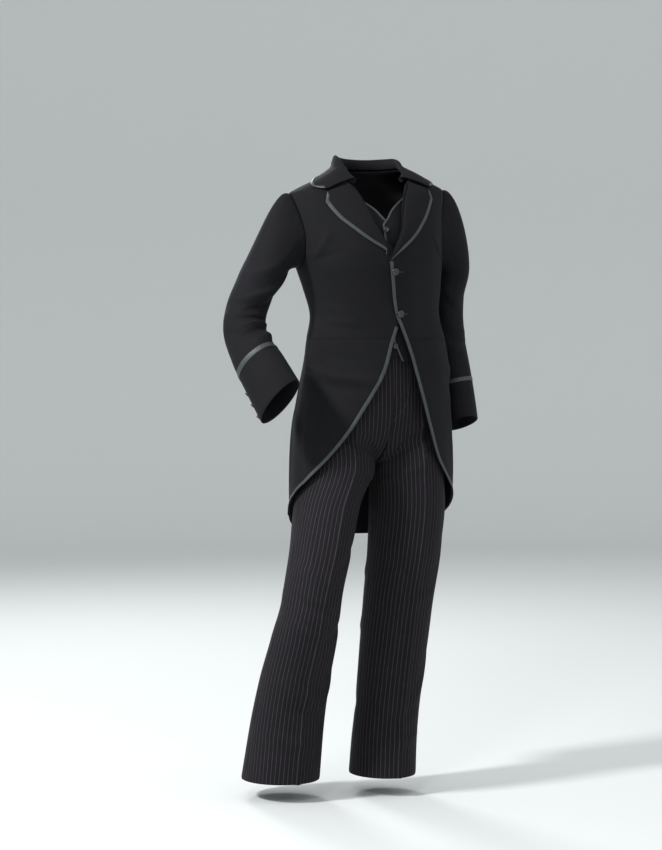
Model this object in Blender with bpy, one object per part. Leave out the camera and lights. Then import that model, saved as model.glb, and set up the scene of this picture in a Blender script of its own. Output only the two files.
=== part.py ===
"""A worn morning suit with no wearer: cutaway coat, waistcoat and striped trousers.

Heights in the tables are above the wearer's floor. Angles go round the body from its front:
0 is the centre front, +90 the wearer's left side, -90 the right side and 180 the centre back.
"""

import math

import bmesh
import bpy
import numpy as np
from mathutils import Matrix, Vector

HELD_HEIGHT = 1.400       # the part's origin: between the shoulders that carry it
CLOTH = 0.0025            # coat wall: wool, canvas and lining
WAISTCOAT_CLOTH = 0.0020
TROUSER_CLOTH = 0.0016
SEAM_GAP = 0.0003
LAP = 0.0031              # a left front lies this far out, over the right one
BRAID_WIDTH = 0.0075
BRAID_THICK = 0.0009
SHOULDER_TILT = 0.055     # the right shoulder hangs lower
SHOULDER_RAISE = 0.004
TILT_FROM, TILT_TO = 1.20, 1.36
WAIST = 1.060             # the coat's waist seam
HEM = 0.596               # the tails' hem
ARMHOLE_MIDDLE, ARMHOLE_HALF, ARMHOLE_SPREAD = 1.3125, 0.0875, 21.0
SLEEVE_STEP = 20          # degrees between the lines of a sleeve


def table(names, *rows):
    """A short table with named columns."""
    return dict(zip(names.split(), np.array(rows, float).T))


COAT_FORM = table(
    "height half_width front back shift",
    (0.580, 0.203, 0.133, 0.162, 0.018),
    (0.700, 0.200, 0.131, 0.156, 0.019),
    (0.820, 0.196, 0.129, 0.147, 0.020),
    (0.940, 0.186, 0.124, 0.130, 0.027),
    (1.000, 0.180, 0.121, 0.117, 0.030),
    (1.060, 0.172, 0.119, 0.104, 0.028),
    (1.120, 0.159, 0.122, 0.095, 0.023),
    (1.180, 0.169, 0.130, 0.103, 0.016),
    (1.235, 0.180, 0.137, 0.112, 0.008),
    (1.300, 0.188, 0.128, 0.118, 0.003),
    (1.350, 0.193, 0.108, 0.113, 0.002),
    (1.390, 0.197, 0.086, 0.100, 0.003),
    (1.400, 0.195, 0.080, 0.096, 0.003),
    (1.413, 0.173, 0.073, 0.091, 0.003),
    (1.428, 0.138, 0.065, 0.086, 0.004),
    (1.441, 0.106, 0.060, 0.080, 0.005),
    (1.4535, 0.083, 0.057, 0.073, 0.005),
    (1.470, 0.076, 0.055, 0.067, 0.006),
    (1.495, 0.074, 0.055, 0.065, 0.006),
)
WAISTCOAT_INSET, WAISTCOAT_SHOULDER_INSET = 0.0120, 0.0092

# The cutaway fronts: where each front edge runs, in degrees from the centre front
LEFT_EDGE = table(
    "height angle",
    (0.657, 97.0), (0.680, 84.0), (0.707, 68.0), (0.745, 49.0), (0.788, 36.5), (0.851, 28.2),
    (0.940, 18.0), (1.023, 8.8), (1.060, 5.0), (1.090, 1.4), (1.120, -2.4), (1.160, -4.0), (1.237, -4.2),
)
RIGHT_EDGE = table(
    "height angle",
    (0.657, 112.0), (0.680, 104.0), (0.707, 89.0), (0.745, 68.0), (0.792, 49.5), (0.851, 34.0),
    (0.907, 24.0), (0.949, 16.8), (0.991, 10.8), (1.042, 5.8), (1.060, 3.8), (1.090, 0.0),
    (1.120, -4.0), (1.160, -7.0), (1.237, -9.0),
)
# The roll line, where the front folds back into the lapel, up to the neck
ROLL_LINE = table(
    "height angle",
    (1.237, -4.0), (1.270, 1.5), (1.305, 8.0), (1.345, 11.5), (1.377, 14.5), (1.405, 19.0),
    (1.425, 28.0), (1.437, 41.0), (1.449, 66.0),
)
SIDE_SEAM = table(
    "height angle",
    (1.060, 88.0), (1.105, 87.0), (1.145, 86.5), (1.185, 87.5), (1.225, 90.0),
)
BACK_SEAM = table(
    "height angle",
    (1.060, 153.0), (1.115, 149.5), (1.165, 141.0), (1.215, 127.5), (1.26875, 108.187),
)

# Arms: outward is turned toward the front by so many degrees, as the forearm comes forward
LEFT_ARM = table(
    "station x y height half_out half_deep turned",
    (0, 0.2340, 0.030, 1.225, 0.0460, 0.0640, 0),
    (1, 0.2290, 0.044, 1.170, 0.0450, 0.0620, 0),
    (2, 0.2330, 0.052, 1.115, 0.0450, 0.0600, 2),
    (3, 0.2410, 0.053, 1.052, 0.0460, 0.0580, 5),
    (4, 0.2520, 0.048, 0.986, 0.0460, 0.0570, 8),
    (5, 0.2620, 0.042, 0.922, 0.0450, 0.0580, 10),
    (6, 0.2700, 0.038, 0.862, 0.0440, 0.0590, 10),
)
RIGHT_ARM = table(
    "station x y height half_out half_deep turned",
    (0, -0.2390, 0.016, 1.235, 0.0465, 0.0600, 0),
    (1, -0.2640, 0.026, 1.180, 0.0455, 0.0540, 4),
    (2, -0.2850, 0.030, 1.130, 0.0455, 0.0510, 12),
    (3, -0.2960, 0.016, 1.080, 0.0460, 0.0520, 24),
    (4, -0.2920, -0.020, 1.032, 0.0440, 0.0550, 36),
    (5, -0.2780, -0.062, 0.978, 0.0410, 0.0590, 42),
    (6, -0.2600, -0.102, 0.920, 0.0390, 0.0620, 42),
)
CUFF_SLANT = 0.016        # the hind-arm seam is longer than the fore-arm one
FOREARM_SEAM, HINDARM_SEAM = 100, 260

HIP_FORM = table(
    "height half_width front back shift",
    (0.760, 0.170, 0.100, 0.118, 0.018),
    (0.850, 0.172, 0.103, 0.124, 0.021),
    (0.940, 0.164, 0.103, 0.114, 0.025),
    (1.010, 0.155, 0.1015, 0.096, 0.028),
    (1.060, 0.1505, 0.1025, 0.0875, 0.027),
    (1.090, 0.1480, 0.1050, 0.0840, 0.024),
)
WAISTBAND_LOW, WAISTBAND_TOP = 1.046, 1.084
RIGHT_LEG = table(
    "height x y half_width half_deep",
    (0.040, -0.181, 0.078, 0.0900, 0.0980),
    (0.120, -0.177, 0.064, 0.0870, 0.0920),
    (0.180, -0.175, 0.050, 0.0850, 0.0870),
    (0.280, -0.173, 0.014, 0.0810, 0.0820),
    (0.380, -0.167, -0.026, 0.0750, 0.0800),
    (0.470, -0.158, -0.048, 0.0660, 0.0800),
    (0.570, -0.1335, -0.038, 0.0675, 0.0880),
    (0.680, -0.1035, -0.012, 0.0710, 0.0980),
    (0.780, -0.0690, 0.006, 0.0840, 0.1060),
    (0.960, -0.0680, 0.008, 0.0840, 0.1080),
)
LEFT_LEG = table(
    "height x y half_width half_deep",
    (0.040, 0.062, 0.036, 0.0760, 0.0900),
    (0.120, 0.066, 0.034, 0.0750, 0.0850),
    (0.180, 0.070, 0.030, 0.0745, 0.0810),
    (0.280, 0.078, 0.024, 0.0770, 0.0800),
    (0.380, 0.087, 0.018, 0.0805, 0.0820),
    (0.470, 0.094, 0.012, 0.0820, 0.0860),
    (0.570, 0.104, 0.006, 0.0840, 0.0930),
    (0.680, 0.111, 0.004, 0.0870, 0.1000),
    (0.780, 0.1060, 0.006, 0.0860, 0.1060),
    (0.960, 0.1040, 0.008, 0.0840, 0.1080),
)
FORK_TOP, FORK = 0.930, 0.775


def smooth(columns, name, at, key=None):
    """A column of a table between its rows: a cubic that never overshoots them."""
    xs = columns[key or next(iter(columns))]
    ys = columns[name]
    step = np.diff(xs)
    rise = np.diff(ys) / step
    slope = np.zeros_like(ys)
    same = rise[:-1] * rise[1:] > 0
    inner = np.zeros_like(rise[1:])
    inner[same] = 2 * rise[:-1][same] * rise[1:][same] / (rise[:-1][same] + rise[1:][same])
    slope[1:-1] = inner
    slope[0], slope[-1] = rise[0], rise[-1]
    at = np.asarray(at, float)
    i = np.clip(np.searchsorted(xs, at) - 1, 0, len(step) - 1)
    u = np.clip((at - xs[i]) / step[i], 0, 1)
    return (
        ys[i] * (1 + 2 * u) * (1 - u) ** 2
        + ys[i + 1] * u * u * (3 - 2 * u)
        + step[i] * (slope[i] * u * (1 - u) ** 2 - slope[i + 1] * u * u * (1 - u))
    )


def ease(at, low, high):
    """0 below low, 1 above high, and smooth between."""
    u = np.clip((np.asarray(at, float) - low) / (high - low), 0, 1)
    return u * u * (3 - 2 * u)


def ring(form, angle, height, inset=0.0):
    """A point of a body form: an oval section at each height, deeper in front or behind."""
    a = np.radians(angle)
    wide = smooth(form, "half_width", height) - inset
    front = smooth(form, "front", height) - inset
    back = smooth(form, "back", height) - inset
    x = smooth(form, "shift", height) + wide * np.sin(a)
    y = -np.where(np.cos(a) > 0, front, back) * np.cos(a)
    tilt = SHOULDER_TILT * ease(height, TILT_FROM, TILT_TO) * (1 - 1.3 * ease(height, 1.42, 1.49))
    z = height + tilt * x + SHOULDER_RAISE * ease(height, 1.33, 1.40)
    return np.stack([x, y, z - HELD_HEIGHT], -1)


def coat(angle, height):
    return ring(COAT_FORM, angle, height)


def waistcoat(angle, height):
    rise = ease(height, 1.33, 1.40)
    inset = WAISTCOAT_INSET + (WAISTCOAT_SHOULDER_INSET - WAISTCOAT_INSET) * rise
    return ring(COAT_FORM, angle, height, inset)


def normals(surface, u, v, side=1.0):
    """Unit normals of a surface of two parameters, from small steps each way."""
    du, dv = 0.4, 0.0015
    along = surface(u + du, v) - surface(u - du, v)
    up = surface(u, v + dv) - surface(u, v - dv)
    n = np.cross(along, up) * side
    return n / np.linalg.norm(n, axis=-1, keepdims=True)


def narrowed(points, gap):
    """A grid of points with each border moved in by gap along the grid's own lines."""
    moved = points.copy()
    for edge, inner in ((0, 1), (-1, -2)):
        d = points[inner] - points[edge]
        moved[edge] += d / np.linalg.norm(d, axis=-1, keepdims=True) * gap
    for edge, inner in ((0, 1), (-1, -2)):
        d = points[:, inner] - points[:, edge]
        moved[:, edge] += d / np.linalg.norm(d, axis=-1, keepdims=True) * gap
    return moved


def show(name, vertices, faces, colour, smooth_angle=40):
    """Links a closed mesh with its own material, with its faces pointing out."""
    mesh = bpy.data.meshes.new(name)
    mesh.from_pydata([tuple(p) for p in vertices], [], faces)
    mesh.update()
    work = bmesh.new()
    work.from_mesh(mesh)
    bmesh.ops.recalc_face_normals(work, faces=work.faces)
    work.to_mesh(mesh)
    work.free()
    mesh.shade_smooth()
    mesh.set_sharp_from_angle(angle=math.radians(smooth_angle))
    mesh.materials.append(material(name, *colour))
    piece = bpy.data.objects.new(name, mesh)
    suit.objects.link(piece)
    return piece


def material(name, red, green, blue, roughness):
    made = bpy.data.materials.new(name)
    made.use_nodes = True
    shader = made.node_tree.nodes["Principled BSDF"]
    shader.inputs["Base Color"].default_value = (red, green, blue, 1)
    shader.inputs["Roughness"].default_value = roughness
    shader.inputs["Metallic"].default_value = 0.0
    return made


def wall(name, outer, inner, colour):
    """A closed wall between two grids of points, rows by columns."""
    rows, columns = outer.shape[:2]
    count = rows * columns
    faces = []
    for r in range(rows - 1):
        for c in range(columns - 1):
            a, b = r * columns + c, r * columns + c + 1
            faces += [(a, b, b + columns), (a, b + columns, a + columns)]
            a, b = a + count, b + count
            faces += [(b, a, b + columns), (a, a + columns, b + columns)]
    border = [c for c in range(columns)]
    border += [r * columns + columns - 1 for r in range(1, rows)]
    border += [(rows - 1) * columns + c for c in range(columns - 2, -1, -1)]
    border += [r * columns for r in range(rows - 2, 0, -1)]
    for here, there in zip(border, border[1:] + border[:1]):
        faces.append((there, here, count + here, count + there))
    vertices = np.concatenate([outer.reshape(-1, 3), inner.reshape(-1, 3)])
    return show(name, vertices, faces, colour)


def between(left, right, top=None, bottom=None, columns=9):
    """Panel lines between a left and a right border; a curved top or bottom bends them to it."""
    s = np.linspace(0, 1, columns)[None, :, None]
    grid = left[:, None] * (1 - s) + right[:, None] * s
    t = np.linspace(0, 1, len(left))[:, None, None]
    if top is not None:
        grid = grid + (top[None] - grid[-1:]) * t ** 3
    if bottom is not None:
        grid = grid + (bottom[None] - grid[:1]) * (1 - t) ** 3
    return grid


def panel(name, surface, grid, thick, colour, lift=None, gap=SEAM_GAP / 2):
    """A cloth wall on a form: grid holds (angle, height); lift moves it out along the normals."""
    angle, height = grid[..., 0], grid[..., 1]
    n = normals(surface, angle, height)
    out = np.zeros_like(angle) if lift is None else lift(angle, height)
    outer = narrowed(surface(angle, height) + n * out[..., None], gap)
    inner = narrowed(surface(angle, height) + n * (out - thick)[..., None], gap)
    return wall(name, outer, inner, colour)


def pairs(angle, height):
    angle, height = np.broadcast_arrays(np.asarray(angle, float), np.asarray(height, float))
    return np.stack([angle, height], -1)


def edge_points(columns, heights):
    return pairs(smooth(columns, "angle", heights), heights)


def armhole(turn):
    """The armhole on the coat's form: turn 0 is the armpit, 180 the shoulder, positive the front."""
    a = np.radians(turn)
    return pairs(90 - ARMHOLE_SPREAD * np.sin(a), ARMHOLE_MIDDLE - ARMHOLE_HALF * np.cos(a))


def mirrored(points, side):
    """Angles change sign on the wearer's right."""
    return points * np.array([side, 1.0])


def braid_line(edge):
    """The line beside a front edge, a braid's width in and square to the edge."""
    radius = 0.16 * np.pi / 180
    flat = edge * np.array([radius, 1.0])
    run = np.gradient(flat, axis=0)
    run /= np.linalg.norm(run, axis=-1, keepdims=True)
    inward = np.stack([run[:, 1], -run[:, 0]], -1) * BRAID_WIDTH
    line = edge + inward / np.array([radius, 1.0])
    return line


def front_lines(edge, rest):
    return np.concatenate([edge[:, None], braid_line(edge)[:, None], rest], 1)


def lap_lift(side, form_lift):
    """The left front lies over the right one near the centre."""
    if side < 0:
        return None
    return lambda angle, height: form_lift * (1 - ease(angle, 9.0, 26.0)) * ease(height, 0.985, 1.03)


WOOL = (0.012, 0.012, 0.015, 0.85)
STRIPED = (0.016, 0.015, 0.018, 0.85)
BRAID = (0.045, 0.055, 0.052, 0.55)
HORN = (0.010, 0.010, 0.012, 0.35)

TAIL_HEIGHTS = np.array([0.657, 0.668, 0.683, 0.703, 0.727, 0.756, 0.792, 0.838, 0.890, 0.945, 1.003, 1.060])
SHOULDER_HEIGHTS = np.array([1.400, 1.413, 1.428, 1.441, 1.4535])
FRONT_COLUMNS, SIDE_COLUMNS = 9, 4


def waist_angles(side):
    """Angles of the lines that meet the waist seam, from the front edge to the back seam."""
    edge = LEFT_EDGE if side > 0 else RIGHT_EDGE
    front = float(smooth(edge, "angle", WAIST))
    return front, np.linspace(front, 88.0, FRONT_COLUMNS), np.linspace(88.0, 153.0, SIDE_COLUMNS)


def front_grid(side):
    edge = LEFT_EDGE if side > 0 else RIGHT_EDGE
    low = np.array([1.060, 1.092, 1.137, 1.185])
    rise = np.array([1.237, 1.262, 1.288, 1.313, 1.337, 1.358, 1.376, 1.390, 1.402])
    top = np.array([1.412, 1.421, 1.429, 1.437, 1.449])
    roll = smooth(ROLL_LINE, "angle", np.concatenate([rise, top]))
    roll += 6 * ease(np.concatenate([rise, top]), 1.405, 1.43)
    if side < 0:
        roll[:3] = [-9.0, -2.0, 4.5]
    left = np.concatenate([
        edge_points(edge, low),
        pairs(roll, np.concatenate([rise, top])),
    ])
    right = np.concatenate([
        edge_points(SIDE_SEAM, SIDE_SEAM["height"][:4]),
        armhole(np.arange(0, 161, 20)),
        pairs(90.0, SHOULDER_HEIGHTS),
    ])
    grid = between(left, right, columns=FRONT_COLUMNS)
    return mirrored(front_lines(left, grid[:, 1:]), side)


def forepart(side, name):
    return panel(name, coat, front_grid(side), CLOTH, WOOL, lap_lift(side, LAP))


def side_body(side, name):
    left = edge_points(SIDE_SEAM, SIDE_SEAM["height"])
    right = edge_points(BACK_SEAM, BACK_SEAM["height"])
    grid = between(left, right, columns=4)
    top = armhole(-np.array([0, 20, 40, 60]))
    t = np.linspace(0, 1, len(left))[:, None, None]
    grid = grid + (top[None] - grid[-1:]) * t ** 3
    return panel(name, coat, mirrored(grid, side), CLOTH, WOOL)


def tail_line():
    """The back seam from the hem up to the waist, with the hem falling lower behind."""
    angle = 153.0 + 3.0 * (1 - (TAIL_HEIGHTS - HEM) / (WAIST - HEM))
    return pairs(angle, TAIL_HEIGHTS - (0.657 - HEM) * (1 - ease(TAIL_HEIGHTS, 0.64, 0.80)))


def skirt_grid(side):
    edge = LEFT_EDGE if side > 0 else RIGHT_EDGE
    front = pairs(smooth(edge, "angle", TAIL_HEIGHTS), TAIL_HEIGHTS)
    line = braid_line(front)
    line[-1, 1] = WAIST
    _, fore, back = waist_angles(side)
    at_waist = np.concatenate([fore[1:], back[1:]])
    share = ((at_waist - line[-1, 0]) / (at_waist[-1] - line[-1, 0]))[None]
    tail = tail_line()
    angle = line[:, :1] * (1 - share) + tail[:, :1] * share
    height = line[:, 1:] * (1 - share) + TAIL_HEIGHTS[:, None] * share
    height = height - (TAIL_HEIGHTS - tail[:, 1])[:, None] * share ** 0.7
    grid = np.concatenate([front[:, None], line[:, None], np.stack([angle, height], -1)], 1)
    return mirrored(grid, side)


def skirt(side, name):
    """From the waist seam down: the front edge is cut away to the back."""
    return panel(name, coat, skirt_grid(side), CLOTH, WOOL, lap_lift(side, LAP))


def on_coat(grid, side):
    """The outer points of a coat panel, and the way out at each."""
    lift = lap_lift(side, LAP)
    n = normals(coat, grid[..., 0], grid[..., 1])
    out = lift(grid[..., 0], grid[..., 1])[..., None] if lift else 0.0
    return coat(grid[..., 0], grid[..., 1]) + n * out, n


def back(side, name):
    """From the hem of the tail to the neck in one length, with the vent below the waist."""
    tail = tail_line()
    left = np.concatenate([
        tail[:-1],
        edge_points(BACK_SEAM, BACK_SEAM["height"])[:-1],
        armhole(-np.arange(60, 161, 20)),
        pairs(90.0, SHOULDER_HEIGHTS),
    ])
    body = np.array([1.115, 1.165, 1.215, 1.260, 1.288, 1.316, 1.343, 1.368, 1.390])
    neck = np.array([1.404, 1.416, 1.428, 1.441, 1.4535])
    right = pairs(180.0, np.concatenate([tail[:, 1], body, neck]))
    grid = between(left, right, columns=7)
    return panel(name, coat, mirrored(grid, side), CLOTH, WOOL)


def arm_line(arm, station):
    """Centre, outward, forward and downward directions of an arm at a station."""
    def centre(at):
        return np.stack(
            [smooth(arm, "x", at), smooth(arm, "y", at), smooth(arm, "height", at) - HELD_HEIGHT], -1
        )

    along = centre(np.minimum(station + 0.4, 6)) - centre(np.maximum(station - 0.4, 0))
    along /= np.linalg.norm(along, axis=-1, keepdims=True)
    side = np.sign(arm["x"][0])
    turned = np.radians(smooth(arm, "turned", station))
    outward = np.stack([side * np.cos(turned), -np.sin(turned), 0 * turned], -1)
    forward = np.cross(along, outward) * side
    forward /= np.linalg.norm(forward, axis=-1, keepdims=True)
    outward = np.cross(forward, along) * side
    return centre(station), outward, forward, along


HEAD_OUT, HEAD_UP = 0.66, 0.38    # how the sleeve head leaves the armhole
HEAD_REACH = 0.9


def sleeve_surface(arm, inset=0.0):
    """A sleeve: turn is 0 over the shoulder and 90 at the front; station -1 is the armhole."""
    side = np.sign(arm["x"][0])

    def at(turn, station):
        turn, station = np.broadcast_arrays(np.asarray(turn, float), np.asarray(station, float))
        a = np.radians(turn)
        on_arm = np.clip(station, 0, 6)
        centre, outward, forward, along = arm_line(arm, on_arm)
        out = smooth(arm, "half_out", on_arm) - inset
        deep = smooth(arm, "half_deep", on_arm) - inset
        arm_ring = (
            centre
            + outward * (out * np.cos(a))[..., None]
            + forward * (deep * np.sin(a))[..., None]
            - along * (CUFF_SLANT * np.sin(a) * ease(on_arm, 3, 6))[..., None]
        )
        hole = armhole(180 - turn)
        hole_ring = coat(hole[..., 0] * side, hole[..., 1])
        middle = coat(90.0 * side, ARMHOLE_MIDDLE)
        toward = middle - hole_ring
        toward[..., 0] = 0
        toward /= np.linalg.norm(toward, axis=-1, keepdims=True)
        hole_ring = hole_ring + toward * (0.0006 + inset)
        # The head is a cubic from the armhole to the arm, leaving sideways and arriving along the arm
        reach = np.linalg.norm(arm_ring - hole_ring, axis=-1) * HEAD_REACH
        top = np.clip(np.cos(a), 0, 1)
        leave = np.stack([side * HEAD_OUT * reach * (0.35 + 0.65 * top), 0 * a, HEAD_UP * reach * top], -1)
        arrive = along * reach[..., None]
        w = np.clip(station + 1, 0, 1)[..., None]
        head = (
            hole_ring * (1 + 2 * w) * (1 - w) ** 2
            + arm_ring * w * w * (3 - 2 * w)
            + leave * w * (1 - w) ** 2
            - arrive * w * w * (1 - w)
        )
        return np.where(station[..., None] >= 0, arm_ring, head)

    return at


SLEEVE_STATIONS = np.array([-1.0, -0.85, -0.66, -0.44, -0.22, 0, 0.6, 1.2, 1.8, 2.4, 3, 3.6, 4.3, 5.1, 6])


def sleeve_part(arm, name, first, last, colour=WOOL, stations=SLEEVE_STATIONS, lift=0.0, thick=CLOTH):
    turns = np.arange(first, last + 1, SLEEVE_STEP, dtype=float)
    turn, station = np.meshgrid(turns, stations)
    outer = narrowed(sleeve_surface(arm, -lift)(turn, station), SEAM_GAP / 2)
    inner = narrowed(sleeve_surface(arm, thick - lift)(turn, station), SEAM_GAP / 2)
    return wall(name, outer, inner, colour)


def trouser_surface(leg):
    """Share 0 is the side seam and 1 the centre seam or inseam; front is -1, back +1."""
    side = np.sign(leg["x"][0])

    def at(share, height, facing, inset=0.0):
        share, height = np.broadcast_arrays(np.asarray(share, float), np.asarray(height, float))
        hip_angle = 90 * (1 - share) if facing < 0 else 90 + 90 * share
        hips = ring(HIP_FORM, side * hip_angle, height, inset)
        a = np.pi * share
        wide = smooth(leg, "half_width", height) - inset
        deep = smooth(leg, "half_deep", height) - inset
        x = smooth(leg, "x", height) + side * wide * np.cos(a)
        y = smooth(leg, "y", height) + facing * deep * np.sin(a)
        tube = np.stack([x, y, height - HELD_HEIGHT], -1)
        down = np.clip((FORK_TOP - height) / (FORK_TOP - FORK), 0, 1)
        w = (1 - np.sqrt(np.clip(1 - down ** 2.4, 0, 1)))[..., None]
        return hips * (1 - w) + tube * w

    return at


LEG_HEIGHTS = np.array([
    0.045, 0.120, 0.200, 0.290, 0.380, 0.470, 0.560, 0.640, 0.710, 0.755, 0.775, 0.790, 0.810,
    0.840, 0.880, 0.930, 0.985, WAISTBAND_LOW,
])


def trouser_part(leg, facing, name):
    surface = trouser_surface(leg)
    shares = np.linspace(0, 1, 8)
    share, height = np.meshgrid(shares, LEG_HEIGHTS)
    on = lambda u, v: surface(u / 100, v, facing)
    side = np.sign(leg["x"][0])
    n = normals(on, share * 100, height, side * facing)
    outer = narrowed(on(share * 100, height), SEAM_GAP / 2)
    inner = narrowed(on(share * 100, height) - n * TROUSER_CLOTH, SEAM_GAP / 2)
    return wall(name, outer, inner, STRIPED)


def hips(angle, height):
    return ring(HIP_FORM, angle, height)


def waistband(side, name):
    heights = np.array([WAISTBAND_LOW, 1.065, WAISTBAND_TOP])
    grid = between(pairs(0.0, heights), pairs(180.0, heights), columns=15)
    return panel(name, hips, mirrored(grid, side), 0.002, STRIPED)


WAISTCOAT_EDGE = table(
    "height angle",
    (1.007, 4.0), (1.035, 0.0), (1.060, -3.0), (1.180, -3.5), (1.318, -4.0), (1.337, 1.0), (1.356, 6.0),
    (1.395, 24.0), (1.420, 36.0), (1.440, 60.0), (1.4535, 76.0),
)
WAISTCOAT_ARMHOLE = (1.306, 0.112, 37.0)
WAISTCOAT_HEM_SIDE = 1.035


def waistcoat_armhole(turn):
    middle, half, spread = WAISTCOAT_ARMHOLE
    a = np.radians(turn)
    return pairs(90 - spread * np.sin(a), middle - half * np.cos(a))


WAISTCOAT_SHOULDERS = np.array([1.418, 1.430, 1.442, 1.4535])


def waistcoat_front(side, name):
    low = np.array([1.007, 1.035, 1.080, 1.125, 1.160])
    side_low = np.array([WAISTCOAT_HEM_SIDE, 1.060, 1.100, 1.135, 1.165])
    rise = np.array([1.200, 1.245, 1.290, 1.318, 1.340, 1.362, 1.385])
    top = np.array([1.400, 1.415, 1.432, 1.4500])
    left = edge_points(WAISTCOAT_EDGE, np.concatenate([low, rise, top]))
    right = np.concatenate([
        pairs(90.0, side_low),
        waistcoat_armhole(np.arange(0, 151, 25)),
        pairs(90.0, WAISTCOAT_SHOULDERS),
    ])
    # The second line lies under the other front's edge, so that the fronts lap without touching
    second = left + pairs(np.maximum(-2 * left[:, 0], 7.0), 0.0)
    second[:, 1] += 0.08 * (right[:, 1] - left[:, 1])
    grid = np.concatenate([left[:, None], between(second, right, columns=7)], 1)
    lift = None
    if side > 0:
        lift = lambda angle, height: 0.0025 * (1 - ease(angle, 7.0, 22.0)) * (1 - ease(height, 1.337, 1.37))
    return panel(name, waistcoat, mirrored(grid, side), WAISTCOAT_CLOTH, WOOL, lift)


def waistcoat_back(name):
    side_low = np.array([WAISTCOAT_HEM_SIDE, 1.060, 1.100, 1.135, 1.165])
    edge = np.concatenate([
        pairs(90.0, side_low),
        waistcoat_armhole(-np.arange(0, 151, 25)),
        pairs(90.0, WAISTCOAT_SHOULDERS),
    ])
    other = edge * np.array([-1.0, 1.0]) + np.array([360.0, 0.0])
    grid = between(edge, other, columns=15)
    return panel(name, waistcoat, grid, WAISTCOAT_CLOTH, WOOL)


LAPEL_EDGE = table(
    "height angle",
    (1.241, -3.5), (1.262, 6.5), (1.288, 18.0), (1.313, 27.0), (1.345, 37.0), (1.3745, 43.5),
)
# The lapel's top: the gorge seam from the roll line to the notch, then down to the tip
LAPEL_TOP = np.array([
    (25.0, 1.4145), (30.0, 1.4100), (34.2, 1.4055), (37.8, 1.4015), (41.0, 1.3980), (43.5, 1.3745),
])
COLLAR_FOLD = table(
    "station angle height",
    (0, 28.5, 1.4290), (1, 57.0, 1.4535), (2, 84.0, 1.4745), (3, 108.0, 1.4820), (4, 132.0, 1.4815),
    (5, 156.0, 1.4800), (6, 180.0, 1.4795),
)
COLLAR_EDGE = table(
    "station angle height",
    (0, 59.0, 1.4105), (1, 77.0, 1.4225), (2, 96.0, 1.4310), (3, 116.0, 1.4360), (4, 137.0, 1.4365),
    (5, 158.0, 1.4360), (6, 180.0, 1.4355),
)
# The collar's front end runs down the gorge to the notch, then out to its corner
COLLAR_END = np.array([(35.6, 1.4130), (42.7, 1.4035), (59.0, 1.4105)])


def lapel_grid(side):
    t = np.linspace(0, 1, 8)
    inner = 1.243 + (LAPEL_TOP[0, 1] - 1.243) * t
    roll = pairs(smooth(ROLL_LINE, "angle", inner), inner)
    outer = 1.241 + (LAPEL_TOP[-1, 1] - 1.241) * t
    tip = pairs(smooth(LAPEL_EDGE, "angle", outer), outer)
    if side < 0:
        # The right lapel stops where the left front covers it
        roll[:2] = [(4.0, 1.254), (4.3, 1.276)]
        tip[0] = (6.5, 1.2535)
    return between(roll, tip, top=LAPEL_TOP, columns=6)


def lapel_lift(side):
    share = np.linspace(0, 1, 6)[None, :]
    rise = np.array([0.2, 0.4, 0.6, 0.8, 1.0, 1.0, 0.85, 0.45])[:, None]
    out = CLOTH + 0.0008 + 0.0042 * np.sin(np.pi * share ** 0.6) * rise
    if side > 0:
        grid = lapel_grid(side)
        out = out + 0.0004 + lap_lift(side, LAP)(grid[..., 0], grid[..., 1])
    return out


def lapel(side, name):
    """The turned-back front: from the roll line out to its braided edge, on top of the forepart."""
    out = lapel_lift(side)
    return panel(name, coat, mirrored(lapel_grid(side), side), CLOTH, WOOL, lambda angle, height: out)


def collar(name):
    """Stands up inside the neck, folds over and falls on the shoulders: one folded strip round the back."""
    stations = np.linspace(-6, 6, 25)
    k = 6 - np.abs(stations)
    turn = lambda angle: np.where(stations > 0, angle, 360 - angle)
    fold_angle = smooth(COLLAR_FOLD, "angle", k)
    fold_height = smooth(COLLAR_FOLD, "height", k)
    edge_angle = smooth(COLLAR_EDGE, "angle", k)
    edge_height = smooth(COLLAR_EDGE, "height", k)
    stand_low = np.minimum(fold_height - 0.012, 1.4575)
    stand_angle = fold_angle - 6 * (1 - ease(k, 0, 1.5))
    rows = [
        ring(COAT_FORM, turn(stand_angle), stand_low, 2 * CLOTH + 0.0014),
        ring(COAT_FORM, turn(stand_angle), 0.5 * (stand_low + fold_height), 2 * CLOTH + 0.0004),
        ring(COAT_FORM, turn(stand_angle + 2), fold_height - 0.001, CLOTH - 0.0004),
        ring(COAT_FORM, turn(fold_angle), fold_height, -0.0042),
    ]
    for row, share in enumerate((0.3, 0.62, 1.0)):
        angle = fold_angle + (edge_angle - fold_angle) * share
        height = fold_height + (edge_height - fold_height) * share
        near = 1 - ease(k, 0, 1.0)
        angle = angle + (COLLAR_END[row, 0] - angle) * near
        height = height + (COLLAR_END[row, 1] - height) * near
        out = CLOTH / 2 + 0.0008 + 0.0050 * (1 - share) + 0.0026 * np.sin(np.pi * share)
        rows.append(coat(turn(angle), height) + normals(coat, turn(angle), height) * out)
    middle = np.stack(rows)
    across = np.gradient(middle, axis=0)
    along = np.gradient(middle, axis=1)
    n = np.cross(along, across)
    n /= np.linalg.norm(n, axis=-1, keepdims=True)
    return wall(name, middle + n * CLOTH / 2, middle - n * CLOTH / 2, WOOL)


def strip(edge, beside, spread, name):
    """Braid between two lines of a panel's points, moved out from it."""
    low = np.stack([edge, beside], 1) + spread * 0.0006
    return wall(name, low + spread * BRAID_THICK, low, BRAID)


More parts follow.
